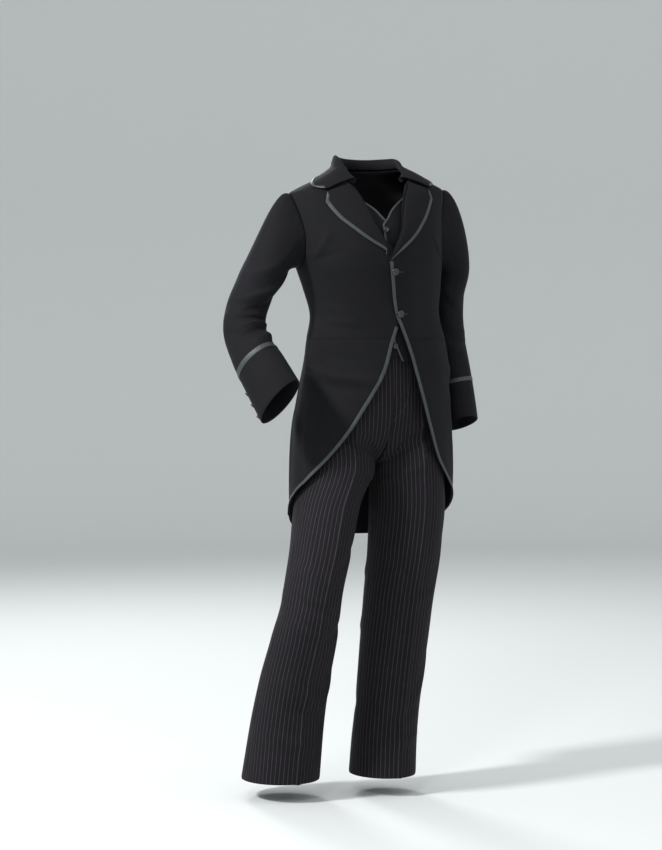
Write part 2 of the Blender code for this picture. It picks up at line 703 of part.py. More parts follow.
def edge_braid(side, name):
    """Flat braid down the front edge, on the outer face of the forepart and the skirt."""
    skirt_points, skirt_out = on_coat(skirt_grid(side), side)
    front_points, front_out = on_coat(front_grid(side), side)
    last = 5 if side > 0 else 2
    points = np.concatenate([skirt_points[:, :2], front_points[1:last, :2]])
    out = np.concatenate([skirt_out[:, :2], front_out[1:last, :2]])
    return strip(points[:, 0], points[:, 1], out, name)


def lapel_braid(side, name):
    """Braid along the lapel's outer edge, up to its tip."""
    grid = lapel_grid(side)[:, -1]
    inner = grid - np.stack([np.interp(np.arange(8), [0, 2, 7], [1.6, 2.5, 2.9]), 0 * grid[:, 1]], -1)
    grid = np.stack([inner, grid - np.array([0.2, 0.0])], 1)[1:]
    out = lapel_lift(side)[1:, -1:] + BRAID_THICK + 0.0017
    return panel(name, coat, mirrored(grid, side), BRAID_THICK, BRAID, lambda a, h: out, 0.0)


def button(name, centre, facing, radius, thick=0.0034):
    """A domed button: a turned disc standing on the cloth."""
    work = bmesh.new()
    bmesh.ops.create_cone(
        work, cap_ends=True, segments=12, radius1=radius, radius2=radius * 0.82, depth=thick
    )
    turned = Vector(facing).to_track_quat("Z", "Y").to_matrix().to_4x4()
    place = Matrix.Translation(Vector(centre) + Vector(facing).normalized() * thick / 2) @ turned
    bmesh.ops.transform(work, matrix=place, verts=work.verts)
    mesh = bpy.data.meshes.new(name)
    work.to_mesh(mesh)
    work.free()
    mesh.shade_smooth()
    mesh.set_sharp_from_angle(angle=math.radians(35))
    mesh.materials.append(material(name, *HORN))
    piece = bpy.data.objects.new(name, mesh)
    suit.objects.link(piece)


def form_button(name, surface, angle, height, above, radius):
    u, v = np.array([float(angle)]), np.array([float(height)])
    n = normals(surface, u, v)[0]
    button(name, surface(u, v)[0] + n * above, n, radius)


def cuff_button(arm, name, station, turn):
    surface = sleeve_surface(arm)
    u, v = np.array([float(turn)]), np.array([float(station)])
    point = surface(u, v)[0]
    centre = arm_line(arm, v)[0][0]
    out = (point - centre) / np.linalg.norm(point - centre)
    button(name, point + out * 0.0010, out, 0.0065, 0.003)


for old in list(bpy.data.objects):
    bpy.data.objects.remove(old)
suit = bpy.data.collections.new("morning_suit")
bpy.context.scene.collection.children.link(suit)

for side, word in ((1, "left"), (-1, "right")):
    forepart(side, f"coat_front_{word}")
    side_body(side, f"coat_side_body_{word}")
    skirt(side, f"coat_skirt_{word}")
    back(side, f"coat_back_{word}")
    lapel(side, f"lapel_{word}")
    edge_braid(side, f"edge_braid_{word}")
    lapel_braid(side, f"lapel_braid_{word}")
    arm = LEFT_ARM if side > 0 else RIGHT_ARM
    sleeve_part(arm, f"top_sleeve_{word}", HINDARM_SEAM - 360, FOREARM_SEAM)
    sleeve_part(arm, f"under_sleeve_{word}", FOREARM_SEAM, HINDARM_SEAM)
    braid_stations = np.array([4.36, 4.52])
    sleeve_part(
        arm, f"cuff_braid_{word}", HINDARM_SEAM - 360, FOREARM_SEAM, BRAID, braid_stations,
        0.0019, BRAID_THICK,
    )
    for number, station in enumerate((4.95, 5.35, 5.75), 1):
        cuff_button(arm, f"cuff_button_{word}_{number}", station, -87)
    form_button(f"hip_button_{word}", coat, side * 156.5, 1.068, 0.0006, 0.0095)
    leg = LEFT_LEG if side > 0 else RIGHT_LEG
    trouser_part(leg, -1, f"trouser_front_{word}")
    trouser_part(leg, 1, f"trouser_back_{word}")
    waistband(side, f"waistband_{word}")
    waistcoat_front(side, f"waistcoat_front_{word}")
waistcoat_back("waistcoat_back")
collar("coat_collar")
for number, (angle, height, above) in enumerate(((-0.7, 1.214, 0.0009), (1.8, 1.1186, 0.0021)), 1):
    form_button(f"coat_button_{number}", coat, angle, height, LAP + above, 0.0085)
for number, height in enumerate((1.310, 1.255, 1.200, 1.145, 1.090, 1.045), 1):
    form_button(f"waistcoat_button_{number}", waistcoat, -2.0, height, 0.0029, 0.0065)
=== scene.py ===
import math

import bpy
import numpy as np
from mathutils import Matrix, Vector


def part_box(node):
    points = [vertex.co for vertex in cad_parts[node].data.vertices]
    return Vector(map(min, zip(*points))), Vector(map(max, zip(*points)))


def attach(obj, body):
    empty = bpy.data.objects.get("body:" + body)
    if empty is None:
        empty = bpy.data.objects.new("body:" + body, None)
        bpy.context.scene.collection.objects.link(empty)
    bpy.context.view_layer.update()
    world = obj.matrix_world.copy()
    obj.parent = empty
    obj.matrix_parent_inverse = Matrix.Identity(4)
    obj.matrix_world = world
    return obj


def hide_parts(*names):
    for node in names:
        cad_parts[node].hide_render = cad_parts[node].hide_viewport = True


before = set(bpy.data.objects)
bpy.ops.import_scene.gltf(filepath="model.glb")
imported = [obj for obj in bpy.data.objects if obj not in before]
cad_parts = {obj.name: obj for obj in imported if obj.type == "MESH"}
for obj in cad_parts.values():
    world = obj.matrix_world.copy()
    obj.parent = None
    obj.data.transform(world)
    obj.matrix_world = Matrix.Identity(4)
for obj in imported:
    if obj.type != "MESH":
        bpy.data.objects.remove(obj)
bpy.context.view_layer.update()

# Heights are above the wearer's floor, in metres; the frame's origin is at heldHeight.
# Angles go round the body in degrees: 0 is the centre front, +90 the wearer's left side.
heldHeight = 1.400
waistHeight, hemHeight = 1.060, 0.596
seamGap = 0.0003
roundOff = 0.0006         # how far a cut edge turns in at a seam
print("frame loaded:", len(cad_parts), "nodes")


def table(names, *rows):
    # Named columns: one array for each name, from the rows
    return dict(zip(names.split(), np.array(rows, float).T))


# The same forms as the solids', so that each shell lies where its solid is
coatForm = table(
    "height halfWidth front back shift",
    (0.580, 0.203, 0.133, 0.162, 0.018), (0.700, 0.200, 0.131, 0.156, 0.019),
    (0.820, 0.196, 0.129, 0.147, 0.020), (0.940, 0.186, 0.124, 0.130, 0.027),
    (1.000, 0.180, 0.121, 0.117, 0.030), (1.060, 0.172, 0.119, 0.104, 0.028),
    (1.120, 0.159, 0.122, 0.095, 0.023), (1.180, 0.169, 0.130, 0.103, 0.016),
    (1.235, 0.180, 0.137, 0.112, 0.008), (1.300, 0.188, 0.128, 0.118, 0.003),
    (1.350, 0.193, 0.108, 0.113, 0.002), (1.390, 0.197, 0.086, 0.100, 0.003),
    (1.400, 0.195, 0.080, 0.096, 0.003), (1.413, 0.173, 0.073, 0.091, 0.003),
    (1.428, 0.138, 0.065, 0.086, 0.004), (1.441, 0.106, 0.060, 0.080, 0.005),
    (1.4535, 0.083, 0.057, 0.073, 0.005), (1.470, 0.076, 0.055, 0.067, 0.006),
    (1.495, 0.074, 0.055, 0.065, 0.006),
)
leftEdge = table(
    "height angle",
    (0.657, 97.0), (0.680, 84.0), (0.707, 68.0), (0.745, 49.0), (0.788, 36.5), (0.851, 28.2),
    (0.940, 18.0), (1.023, 8.8), (1.060, 5.0), (1.090, 1.4), (1.120, -2.4), (1.160, -4.0), (1.237, -4.2),
)
rightEdge = table(
    "height angle",
    (0.657, 112.0), (0.680, 104.0), (0.707, 89.0), (0.745, 68.0), (0.792, 49.5), (0.851, 34.0),
    (0.907, 24.0), (0.949, 16.8), (0.991, 10.8), (1.042, 5.8), (1.060, 3.8), (1.090, 0.0),
    (1.120, -4.0), (1.160, -7.0), (1.237, -9.0),
)
rollLine = table(
    "height angle",
    (1.237, -4.0), (1.270, 1.5), (1.305, 8.0), (1.345, 11.5), (1.377, 14.5), (1.405, 19.0),
    (1.425, 28.0), (1.437, 41.0), (1.449, 66.0),
)
sideSeam = table(
    "height angle", (1.060, 88.0), (1.105, 87.0), (1.145, 86.5), (1.185, 87.5), (1.225, 90.0)
)
backSeam = table(
    "height angle",
    (1.060, 153.0), (1.115, 149.5), (1.165, 141.0), (1.215, 127.5), (1.26875, 108.187),
)
lapelEdge = table(
    "height angle",
    (1.241, -3.5), (1.262, 6.5), (1.288, 18.0), (1.313, 27.0), (1.345, 37.0), (1.3745, 43.5),
)
lapelTop = np.array(
    [(25.0, 1.4145), (30.0, 1.4100), (34.2, 1.4055), (37.8, 1.4015), (41.0, 1.3980), (43.5, 1.3745)]
)
collarFold = table(
    "station angle height",
    (0, 28.5, 1.4290), (1, 57.0, 1.4535), (2, 84.0, 1.4745), (3, 108.0, 1.4820), (4, 132.0, 1.4815),
    (5, 156.0, 1.4800), (6, 180.0, 1.4795),
)
collarEdge = table(
    "station angle height",
    (0, 59.0, 1.4105), (1, 77.0, 1.4225), (2, 96.0, 1.4310), (3, 116.0, 1.4360), (4, 137.0, 1.4365),
    (5, 158.0, 1.4360), (6, 180.0, 1.4355),
)
collarEnd = np.array([(35.6, 1.4130), (42.7, 1.4035), (59.0, 1.4105)])
leftArm = table(
    "station x y height halfOut halfDeep turned",
    (0, 0.2340, 0.030, 1.225, 0.0460, 0.0640, 0), (1, 0.2290, 0.044, 1.170, 0.0450, 0.0620, 0),
    (2, 0.2330, 0.052, 1.115, 0.0450, 0.0600, 2), (3, 0.2410, 0.053, 1.052, 0.0460, 0.0580, 5),
    (4, 0.2520, 0.048, 0.986, 0.0460, 0.0570, 8), (5, 0.2620, 0.042, 0.922, 0.0450, 0.0580, 10),
    (6, 0.2700, 0.038, 0.862, 0.0440, 0.0590, 10),
)
rightArm = table(
    "station x y height halfOut halfDeep turned",
    (0, -0.2390, 0.016, 1.235, 0.0465, 0.0600, 0), (1, -0.2640, 0.026, 1.180, 0.0455, 0.0540, 4),
    (2, -0.2850, 0.030, 1.130, 0.0455, 0.0510, 12), (3, -0.2960, 0.016, 1.080, 0.0460, 0.0520, 24),
    (4, -0.2920, -0.020, 1.032, 0.0440, 0.0550, 36), (5, -0.2780, -0.062, 0.978, 0.0410, 0.0590, 42),
    (6, -0.2600, -0.102, 0.920, 0.0390, 0.0620, 42),
)
hipForm = table(
    "height halfWidth front back shift",
    (0.760, 0.170, 0.100, 0.118, 0.018), (0.850, 0.172, 0.103, 0.124, 0.021),
    (0.940, 0.164, 0.103, 0.114, 0.025), (1.010, 0.155, 0.1015, 0.096, 0.028),
    (1.060, 0.1505, 0.1025, 0.0875, 0.027), (1.090, 0.1480, 0.1050, 0.0840, 0.024),
)
rightLeg = table(
    "height x y halfWidth halfDeep",
    (0.040, -0.181, 0.078, 0.0900, 0.0980), (0.120, -0.177, 0.064, 0.0870, 0.0920),
    (0.180, -0.175, 0.050, 0.0850, 0.0870), (0.280, -0.173, 0.014, 0.0810, 0.0820),
    (0.380, -0.167, -0.026, 0.0750, 0.0800), (0.470, -0.158, -0.048, 0.0660, 0.0800),
    (0.570, -0.1335, -0.038, 0.0675, 0.0880), (0.680, -0.1035, -0.012, 0.0710, 0.0980),
    (0.780, -0.0690, 0.006, 0.0840, 0.1060), (0.960, -0.0680, 0.008, 0.0840, 0.1080),
)
leftLeg = table(
    "height x y halfWidth halfDeep",
    (0.040, 0.062, 0.036, 0.0760, 0.0900), (0.120, 0.066, 0.034, 0.0750, 0.0850),
    (0.180, 0.070, 0.030, 0.0745, 0.0810), (0.280, 0.078, 0.024, 0.0770, 0.0800),
    (0.380, 0.087, 0.018, 0.0805, 0.0820), (0.470, 0.094, 0.012, 0.0820, 0.0860),
    (0.570, 0.104, 0.006, 0.0840, 0.0930), (0.680, 0.111, 0.004, 0.0870, 0.1000),
    (0.780, 0.1060, 0.006, 0.0860, 0.1060), (0.960, 0.1040, 0.008, 0.0840, 0.1080),
)
waistcoatEdge = table(
    "height angle",
    (1.007, 4.0), (1.035, 0.0), (1.060, -3.0), (1.180, -3.5), (1.318, -4.0), (1.337, 1.0), (1.356, 6.0),
    (1.395, 24.0), (1.420, 36.0), (1.440, 60.0), (1.4535, 76.0),
)


def through(xs, ys, at):
    # Monotone cubic through the points (xs, ys): it never overshoots them
    step = np.diff(xs)
    rise = np.diff(ys) / step
    slope = np.zeros_like(ys)
    product, total = rise[:-1] * rise[1:], rise[:-1] + rise[1:]
    slope[1:-1] = np.where(product > 0, 2 * product / np.where(total == 0, 1, total), 0)
    slope[0], slope[-1] = rise[0], rise[-1]
    at = np.asarray(at, float)
    i = np.clip(np.searchsorted(xs, at) - 1, 0, len(step) - 1)
    u = np.clip((at - xs[i]) / step[i], 0, 1)
    return (
        ys[i] * (1 + 2 * u) * (1 - u) ** 2 + ys[i + 1] * u * u * (3 - 2 * u)
        + step[i] * (slope[i] * u * (1 - u) ** 2 - slope[i + 1] * u * u * (1 - u))
    )


def smooth(columns, name, at):
    # A table's named column, read at any place of its first column
    return through(columns[next(iter(columns))], columns[name], at)


def ease(at, low, high):
    # 0 below low, 1 above high, and 3u^2 - 2u^3 between
    u = np.clip((np.asarray(at, float) - low) / (high - low), 0, 1)
    return u * u * (3 - 2 * u)


def ring(form, angle, height, inset=0.0):
    # x = shift + half width * sin(angle), y = -front or back depth * cos(angle);
    # the right shoulder hangs lower
    a = np.radians(angle)
    x = smooth(form, "shift", height) + (smooth(form, "halfWidth", height) - inset) * np.sin(a)
    depth = np.where(np.cos(a) > 0, smooth(form, "front", height), smooth(form, "back", height))
    tilt = 0.055 * ease(height, 1.20, 1.36) * (1 - 1.3 * ease(height, 1.42, 1.49))
    z = height + tilt * x + 0.004 * ease(height, 1.33, 1.40) - heldHeight
    return np.stack([x, -(depth - inset) * np.cos(a), z], -1)


def coat(angle, height):
    # The coat's own oval
    return ring(coatForm, angle, height)


def waistcoat(angle, height):
    # The coat's oval, 9 to 12 mm further in
    return ring(coatForm, angle, height, 0.0120 - 0.0028 * ease(height, 1.33, 1.40))


def hips(angle, height):
    # The trousers' oval above the fork
    return ring(hipForm, angle, height)


def unit(v):
    # v / |v|
    return v / np.maximum(np.linalg.norm(v, axis=-1, keepdims=True), 1e-12)


def formNormals(surface, angle, height):
    # Cross product of small steps round and up the form
    along = surface(angle + 0.4, height) - surface(angle - 0.4, height)
    up = surface(angle, height + 0.0015) - surface(angle, height - 0.0015)
    return unit(np.cross(along, up))


def pairs(angle, height):
    # Angles and heights side by side, as one grid
    return np.stack(np.broadcast_arrays(np.asarray(angle, float), np.asarray(height, float)), -1)


def armhole(turn):
    # angle = 90 - 21 sin(turn), height = 1.3125 - 0.0875 cos(turn): 0 is the armpit, 180 the shoulder
    a = np.radians(turn)
    return pairs(90 - 21.0 * np.sin(a), 1.3125 - 0.0875 * np.cos(a))


def spans(*parts):
    # Joins runs of (from, to, steps) into one rising list with no point twice
    runs = [np.linspace(a, b, n + 1)[(k > 0):] for k, (a, b, n) in enumerate(parts)]
    return np.concatenate(runs)


def across(width, steps):
    # Shares from 0 to 1, closer together beside both cut edges
    near = np.array([0, 0.0010, 0.0025, 0.0050]) / width
    return np.concatenate([near, np.linspace(near[-1], 1 - near[-1], steps)[1:-1], 1 - near[::-1]])


def folded(u, v, folds):
    # Sum of soft ridges and troughs: depth times a bell of the distance from each line, steeper on one
    # side, which fades to nothing at both ends. Columns: start u v, end u v, depth, width, bow
    if not len(folds):
        return np.zeros(np.broadcast(u, v).shape)
    f = np.array(folds, float)
    start, run = f[:, 0:2], f[:, 2:4] - f[:, 0:2]
    size = np.linalg.norm(run, axis=1)
    p = np.stack(np.broadcast_arrays(u, v), -1)[..., None, :] - start
    t = np.clip((p * run).sum(-1) / size ** 2, 0, 1)
    side = (p[..., 0] * run[:, 1] - p[..., 1] * run[:, 0]) / size - f[:, 6] * 4 * t * (1 - t)
    beyond = np.linalg.norm(p - t[..., None] * run, axis=-1)
    away = np.where((t > 0) & (t < 1), np.abs(side), beyond)
    width = f[:, 5] * (1 + 0.3 * np.sign(side))
    fade = np.clip(4 * t * (1 - t), 0, 1) ** 0.7
    return (f[:, 4] * fade * np.exp(-((away / width) ** 2))).sum(-1)


# Cloth, braid and button finishes


def colour(code):
    # sRGB hex to linear
    parts = [int(code[i:i + 2], 16) / 255 for i in (1, 3, 5)]
    return [c / 12.92 if c <= 0.04045 else ((c + 0.055) / 1.055) ** 2.4 for c in parts] + [1.0]


def add(tree, kind, sockets, **settings):
    # One node: its sockets take a value or another node's output, and the rest are settings
    made = tree.nodes.new(kind)
    for key, value in settings.items():
        setattr(made, key, value)
    for key, value in sockets.items():
        if isinstance(value, bpy.types.NodeSocket):
            tree.links.new(value, made.inputs[key])
        else:
            made.inputs[key].default_value = value
    return made


def startMaterial(name, shaderValues):
    # A material whose shader's constants are set straight on its sockets
    made = bpy.data.materials.new(name)
    made.use_nodes = True
    shader = made.node_tree.nodes["Principled BSDF"]
    for key, value in shaderValues.items():
        shader.inputs[key].default_value = value
    return made, made.node_tree, shader


woolLook = {
    "thread": 0.0011,        # drawn twice as coarse as the real thread, so that it just shows
    "napScale": 900.0,
    "patchScale": 7.0,
    "ribScale": 0.32,
    "weftScale": 0.45,
}


def weaveHeight(tree, uv):
    # Twill: a wave along the diagonal ribs crossed by a finer one, in metres of the cloth's own map
    thread = woolLook["thread"]
    rib = add(tree, "ShaderNodeTexWave", {
        "Vector": uv, "Scale": woolLook["ribScale"] / thread, "Distortion": 0.6, "Detail": 1.0,
    }, wave_type="BANDS", bands_direction="DIAGONAL")
    weft = add(tree, "ShaderNodeTexWave", {
        "Vector": uv, "Scale": woolLook["weftScale"] / thread, "Distortion": 0.4, "Detail": 1.0,
    }, wave_type="BANDS", bands_direction="Y")
    nap = add(tree, "ShaderNodeTexNoise", {"Vector": uv, "Scale": woolLook["napScale"], "Detail": 3.0})
    both = add(tree, "ShaderNodeMath", {0: rib.outputs["Fac"], 1: weft.outputs["Fac"]}, operation="ADD")
    total = add(tree, "ShaderNodeMath", {0: both.outputs[0], 1: nap.outputs["Fac"]}, operation="ADD")
    return total.outputs[0]


def worstedWool(name, dark, light, sheen):
    # Worsted wool, close woven and pressed: dull, with a faint sheen at grazing angles
    # and a barely uneven dye
    made, tree, shader = startMaterial(name, {
        "Roughness": 0.82, "IOR": 1.5, "Specular IOR Level": 0.18,
        "Sheen Weight": sheen, "Sheen Roughness": 0.45, "Sheen Tint": colour("#8d8f9c"),
    })
    uv = add(tree, "ShaderNodeUVMap", {}, uv_map="cloth").outputs["UV"]
    patch = add(tree, "ShaderNodeTexNoise", {"Vector": uv, "Scale": woolLook["patchScale"], "Detail": 4.0})
    fibre = add(tree, "ShaderNodeTexNoise", {"Vector": uv, "Scale": 420.0, "Detail": 2.0})
    mixed = add(tree, "ShaderNodeMath", {0: patch.outputs["Fac"], 1: fibre.outputs["Fac"]},
                operation="MULTIPLY")
    spread = add(tree, "ShaderNodeMapRange", {
        "Value": mixed.outputs[0], "From Min": 0.12, "From Max": 0.42,
    })
    tone = add(tree, "ShaderNodeMix", {
        "Factor": spread.outputs["Result"], "A": colour(dark), "B": colour(light),
    }, data_type="RGBA")
    toShader(tree, shader, tone, weaveHeight(tree, uv), 0.35, 0.00025)
    return made


def colourOut(mix):
    # The colour output of a mix node
    return next(o for o in mix.outputs if o.type == "RGBA")


def toShader(tree, shader, tone, height, strength, distance):
    # The mixed tone as the base colour, and the height as relief
    tree.links.new(colourOut(tone), shader.inputs["Base Color"])
    bump = add(tree, "ShaderNodeBump", {"Height": height, "Strength": strength, "Distance": distance})
    tree.links.new(bump.outputs["Normal"], shader.inputs["Normal"])


stripeLook = {
    "spacing": 0.0100,       # from stripe to stripe, as on the photo's right leg
    "threadHalf": 0.00062,   # half a stripe's width
    "dark": "#0e0d10",
    "light": "#151317",
    "stripe": "#3c363d",
}


def stripedWool():
    # Striped worsted: fine grey-purple lines down a near-black ground
    made, tree, shader = startMaterial("stripedWorsted", {
        "Roughness": 0.82, "IOR": 1.5, "Specular IOR Level": 0.18,
        "Sheen Weight": 0.03, "Sheen Roughness": 0.4, "Sheen Tint": colour("#8d8792"),
    })
    uv = add(tree, "ShaderNodeUVMap", {}, uv_map="cloth").outputs["UV"]
    place = add(tree, "ShaderNodeSeparateXYZ", {"Vector": uv}).outputs["X"]
    waver = add(tree, "ShaderNodeTexNoise", {"Vector": uv, "Scale": 60.0, "Detail": 2.0}).outputs["Fac"]
    turns = add(tree, "ShaderNodeMath", {0: place, 1: 1 / stripeLook["spacing"]},
                operation="MULTIPLY").outputs[0]
    part = add(tree, "ShaderNodeMath", {0: turns}, operation="FRACT").outputs[0]
    centred = add(tree, "ShaderNodeMath", {0: part, 1: 0.5}, operation="SUBTRACT").outputs[0]
    apart = add(tree, "ShaderNodeMath", {0: centred}, operation="ABSOLUTE").outputs[0]
    half = stripeLook["threadHalf"] / stripeLook["spacing"]
    line = add(tree, "ShaderNodeMapRange", {"Value": apart, "From Min": half * 1.5, "From Max": half * 0.5,
                                            "To Min": 0.0, "To Max": 1.0}).outputs["Result"]
    broken = add(tree, "ShaderNodeMapRange", {"Value": waver, "From Min": 0.25, "From Max": 0.6,
                                              "To Min": 0.6, "To Max": 1.0}).outputs["Result"]
    strength = add(tree, "ShaderNodeMath", {0: line, 1: broken}, operation="MULTIPLY").outputs[0]
    patch = add(tree, "ShaderNodeTexNoise", {"Vector": uv, "Scale": 9.0, "Detail": 4.0}).outputs["Fac"]
    ground = add(tree, "ShaderNodeMix", {"Factor": patch, "A": colour(stripeLook["dark"]),
                                         "B": colour(stripeLook["light"])}, data_type="RGBA")
    tone = add(tree, "ShaderNodeMix", {
        "Factor": strength, "A": colourOut(ground), "B": colour(stripeLook["stripe"]),
    }, data_type="RGBA")
    toShader(tree, shader, tone, weaveHeight(tree, uv), 0.35, 0.00025)
    return made


def mohairBraid():
    # Flat plaited mohair braid: smooth bright threads on the slant, so it
    # catches the light more than the wool
    made, tree, shader = startMaterial("plaitedMohairBraid", {
        "Roughness": 0.5, "IOR": 1.5, "Specular IOR Level": 0.4,
        "Sheen Weight": 0.15, "Sheen Roughness": 0.3, "Sheen Tint": colour("#c3cdc6"),
    })
    uv = add(tree, "ShaderNodeUVMap", {}, uv_map="cloth").outputs["UV"]
    plait = add(tree, "ShaderNodeTexWave", {"Vector": uv, "Scale": 190.0, "Distortion": 0.8, "Detail": 1.0},
                wave_type="BANDS", bands_direction="DIAGONAL")
    noise = add(tree, "ShaderNodeTexNoise", {"Vector": uv, "Scale": 90.0, "Detail": 3.0})
    mixed = add(tree, "ShaderNodeMath", {0: plait.outputs["Fac"], 1: noise.outputs["Fac"]},
                operation="MULTIPLY")
    tone = add(tree, "ShaderNodeMix", {
        "Factor": mixed.outputs[0], "A": colour("#242a27"), "B": colour("#4d5650"),
    }, data_type="RGBA")
    toShader(tree, shader, tone, plait.outputs["Fac"], 0.5, 0.0003)
    return made


def polishedHorn():
    # Black horn, turned and polished: smooth, with faint cloudy layers
    made, tree, shader = startMaterial("polishedHorn", {
        "Roughness": 0.28, "IOR": 1.54, "Coat Weight": 0.15, "Coat Roughness": 0.2,
    })
    place = add(tree, "ShaderNodeTexCoord", {}).outputs["Object"]
    cloud = add(tree, "ShaderNodeTexNoise", {"Vector": place, "Scale": 160.0, "Detail": 3.0}).outputs["Fac"]
    tone = add(tree, "ShaderNodeMix", {"Factor": cloud, "A": colour("#121214"), "B": colour("#26272a")},
               data_type="RGBA")
    tree.links.new(colourOut(tone), shader.inputs["Base Color"])
    return made


coatWool = worstedWool("coatWorsted", "#0b0b0e", "#131317", 0.03)
waistcoatWool = worstedWool("waistcoatWorsted", "#0a0a0d", "#121215", 0.03)
trouserWool = stripedWool()
braid = mohairBraid()
horn = polishedHorn()
sewingThread = worstedWool("silkThread", "#2c2c30", "#3a3b40", 0.2)
print("finishes made")


# Meshes


def gridNormals(points):
    # Step along the row x step up the column, made one long
    return unit(np.cross(np.gradient(points, axis=1), np.gradient(points, axis=0)))


def runLengths(points, axis):
    # Summed distance along a grid's rows or columns
    step = np.linalg.norm(np.diff(points, axis=axis), axis=-1)
    zero = np.zeros_like(np.take(step, [0], axis=axis))
    return np.concatenate([zero, np.cumsum(step, axis=axis)], axis=axis)


def edgeDistance(points):
    # Distance along the cloth to the nearest cut edge
    alongRow, alongColumn = runLengths(points, 1), runLengths(points, 0)
    return np.minimum.reduce([
        alongRow, alongRow[:, -1:] - alongRow, alongColumn, alongColumn[-1:] - alongColumn,
    ])


def pulledIn(points, gap):
    # Every border point moved by the gap toward its neighbour inside
    moved = points.copy()
    for here, inner in ((0, 1), (-1, -2)):
        moved[here] += unit(points[inner] - points[here]) * gap
        moved[:, here] += unit(points[:, inner] - points[:, here]) * gap
    return moved


def putMesh(name, points, faces, uv, material):
    # Mesh, map, material and object in one step; the object stays at the origin
    mesh = bpy.data.meshes.new(name)
    mesh.from_pydata(points.tolist(), [], faces)
    if uv is not None:
        layer = mesh.uv_layers.new(name="cloth")
        corner = np.zeros(len(mesh.loops), np.int32)
        mesh.loops.foreach_get("vertex_index", corner)
        layer.data.foreach_set("uv", uv[corner].astype(np.float32).ravel())
    mesh.shade_smooth()
    mesh.set_sharp_from_angle(angle=math.radians(50))
    mesh.materials.append(material)
    piece = bpy.data.objects.new(name, mesh)
    bpy.context.scene.collection.objects.link(piece)
    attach(piece, "root")
    return piece


def wallFaces(rows, columns, turned):
    # Two grids of quads, one for each face of the cloth, joined round the border
    index = np.arange(rows * columns).reshape(rows, columns)
    a, b, c, d = index[:-1, :-1], index[:-1, 1:], index[1:, 1:], index[1:, :-1]
    outer = np.stack([a, b, c, d], -1).reshape(-1, 4)
    inner = outer[:, ::-1] + rows * columns
    border = np.concatenate([index[0], index[1:, -1], index[-1, -2::-1], index[-2:0:-1, 0]])
    there = np.roll(border, -1)
    rim = np.stack([there, border, border + rows * columns, there + rows * columns], -1)
    faces = np.concatenate([outer, inner, rim])
    return (faces[:, ::-1] if turned else faces).tolist()


def clothShell(name, points, uv, thick, material, lift=0.0, gap=seamGap / 2, turn=1.0):
    # The cloth's face, turned in a little at its cut edges, and its back a thickness behind it
    n = gridNormals(points) * turn
    lift = np.broadcast_to(lift, points.shape[:2])[..., None]
    face = pulledIn(points + n * lift, gap)
    tuck = roundOff * np.exp(-edgeDistance(face) / 0.0011)[..., None]
    outer, inner = face - n * tuck, face - n * (thick - tuck)
    rows, columns = points.shape[:2]
    both = np.concatenate([outer.reshape(-1, 3), inner.reshape(-1, 3)])
    flat = uv.reshape(-1, 2)
    return putMesh(name, both, wallFaces(rows, columns, turn < 0), np.concatenate([flat, flat]), material)


def garment(name, node, points, uv, thick, material, lift=0.0, turn=1.0):
    # One panel: its shell, with the node it takes the place of hidden
    piece = clothShell(name, points, uv, thick, material, lift, turn=turn)
    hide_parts(node)
    return piece


# Coat

coatCut = {
    "cloth": 0.0025,
    "lap": 0.0031,           # the left front lies this far out, over the right one
    "frontHeights": [1.060, 1.092, 1.137, 1.185, 1.237, 1.262, 1.288, 1.313, 1.337, 1.358, 1.376, 1.390,
                     1.402, 1.412, 1.421, 1.429, 1.437, 1.449],
    "tailHeights": [0.657, 0.668, 0.683, 0.703, 0.727, 0.756, 0.792, 0.838, 0.890, 0.945, 1.003, 1.060],
    "backHeights": [1.115, 1.165, 1.215, 1.260, 1.288, 1.316, 1.343, 1.368, 1.390, 1.404, 1.416, 1.428,
                    1.441, 1.4535],
    "shoulderHeights": [1.400, 1.413, 1.428, 1.441, 1.4535],
}
halfCloth = coatCut["cloth"] / 2
metresPerDegree = 0.0030
underMetresPerDegree = 0.0028    # the waistcoat lies further in
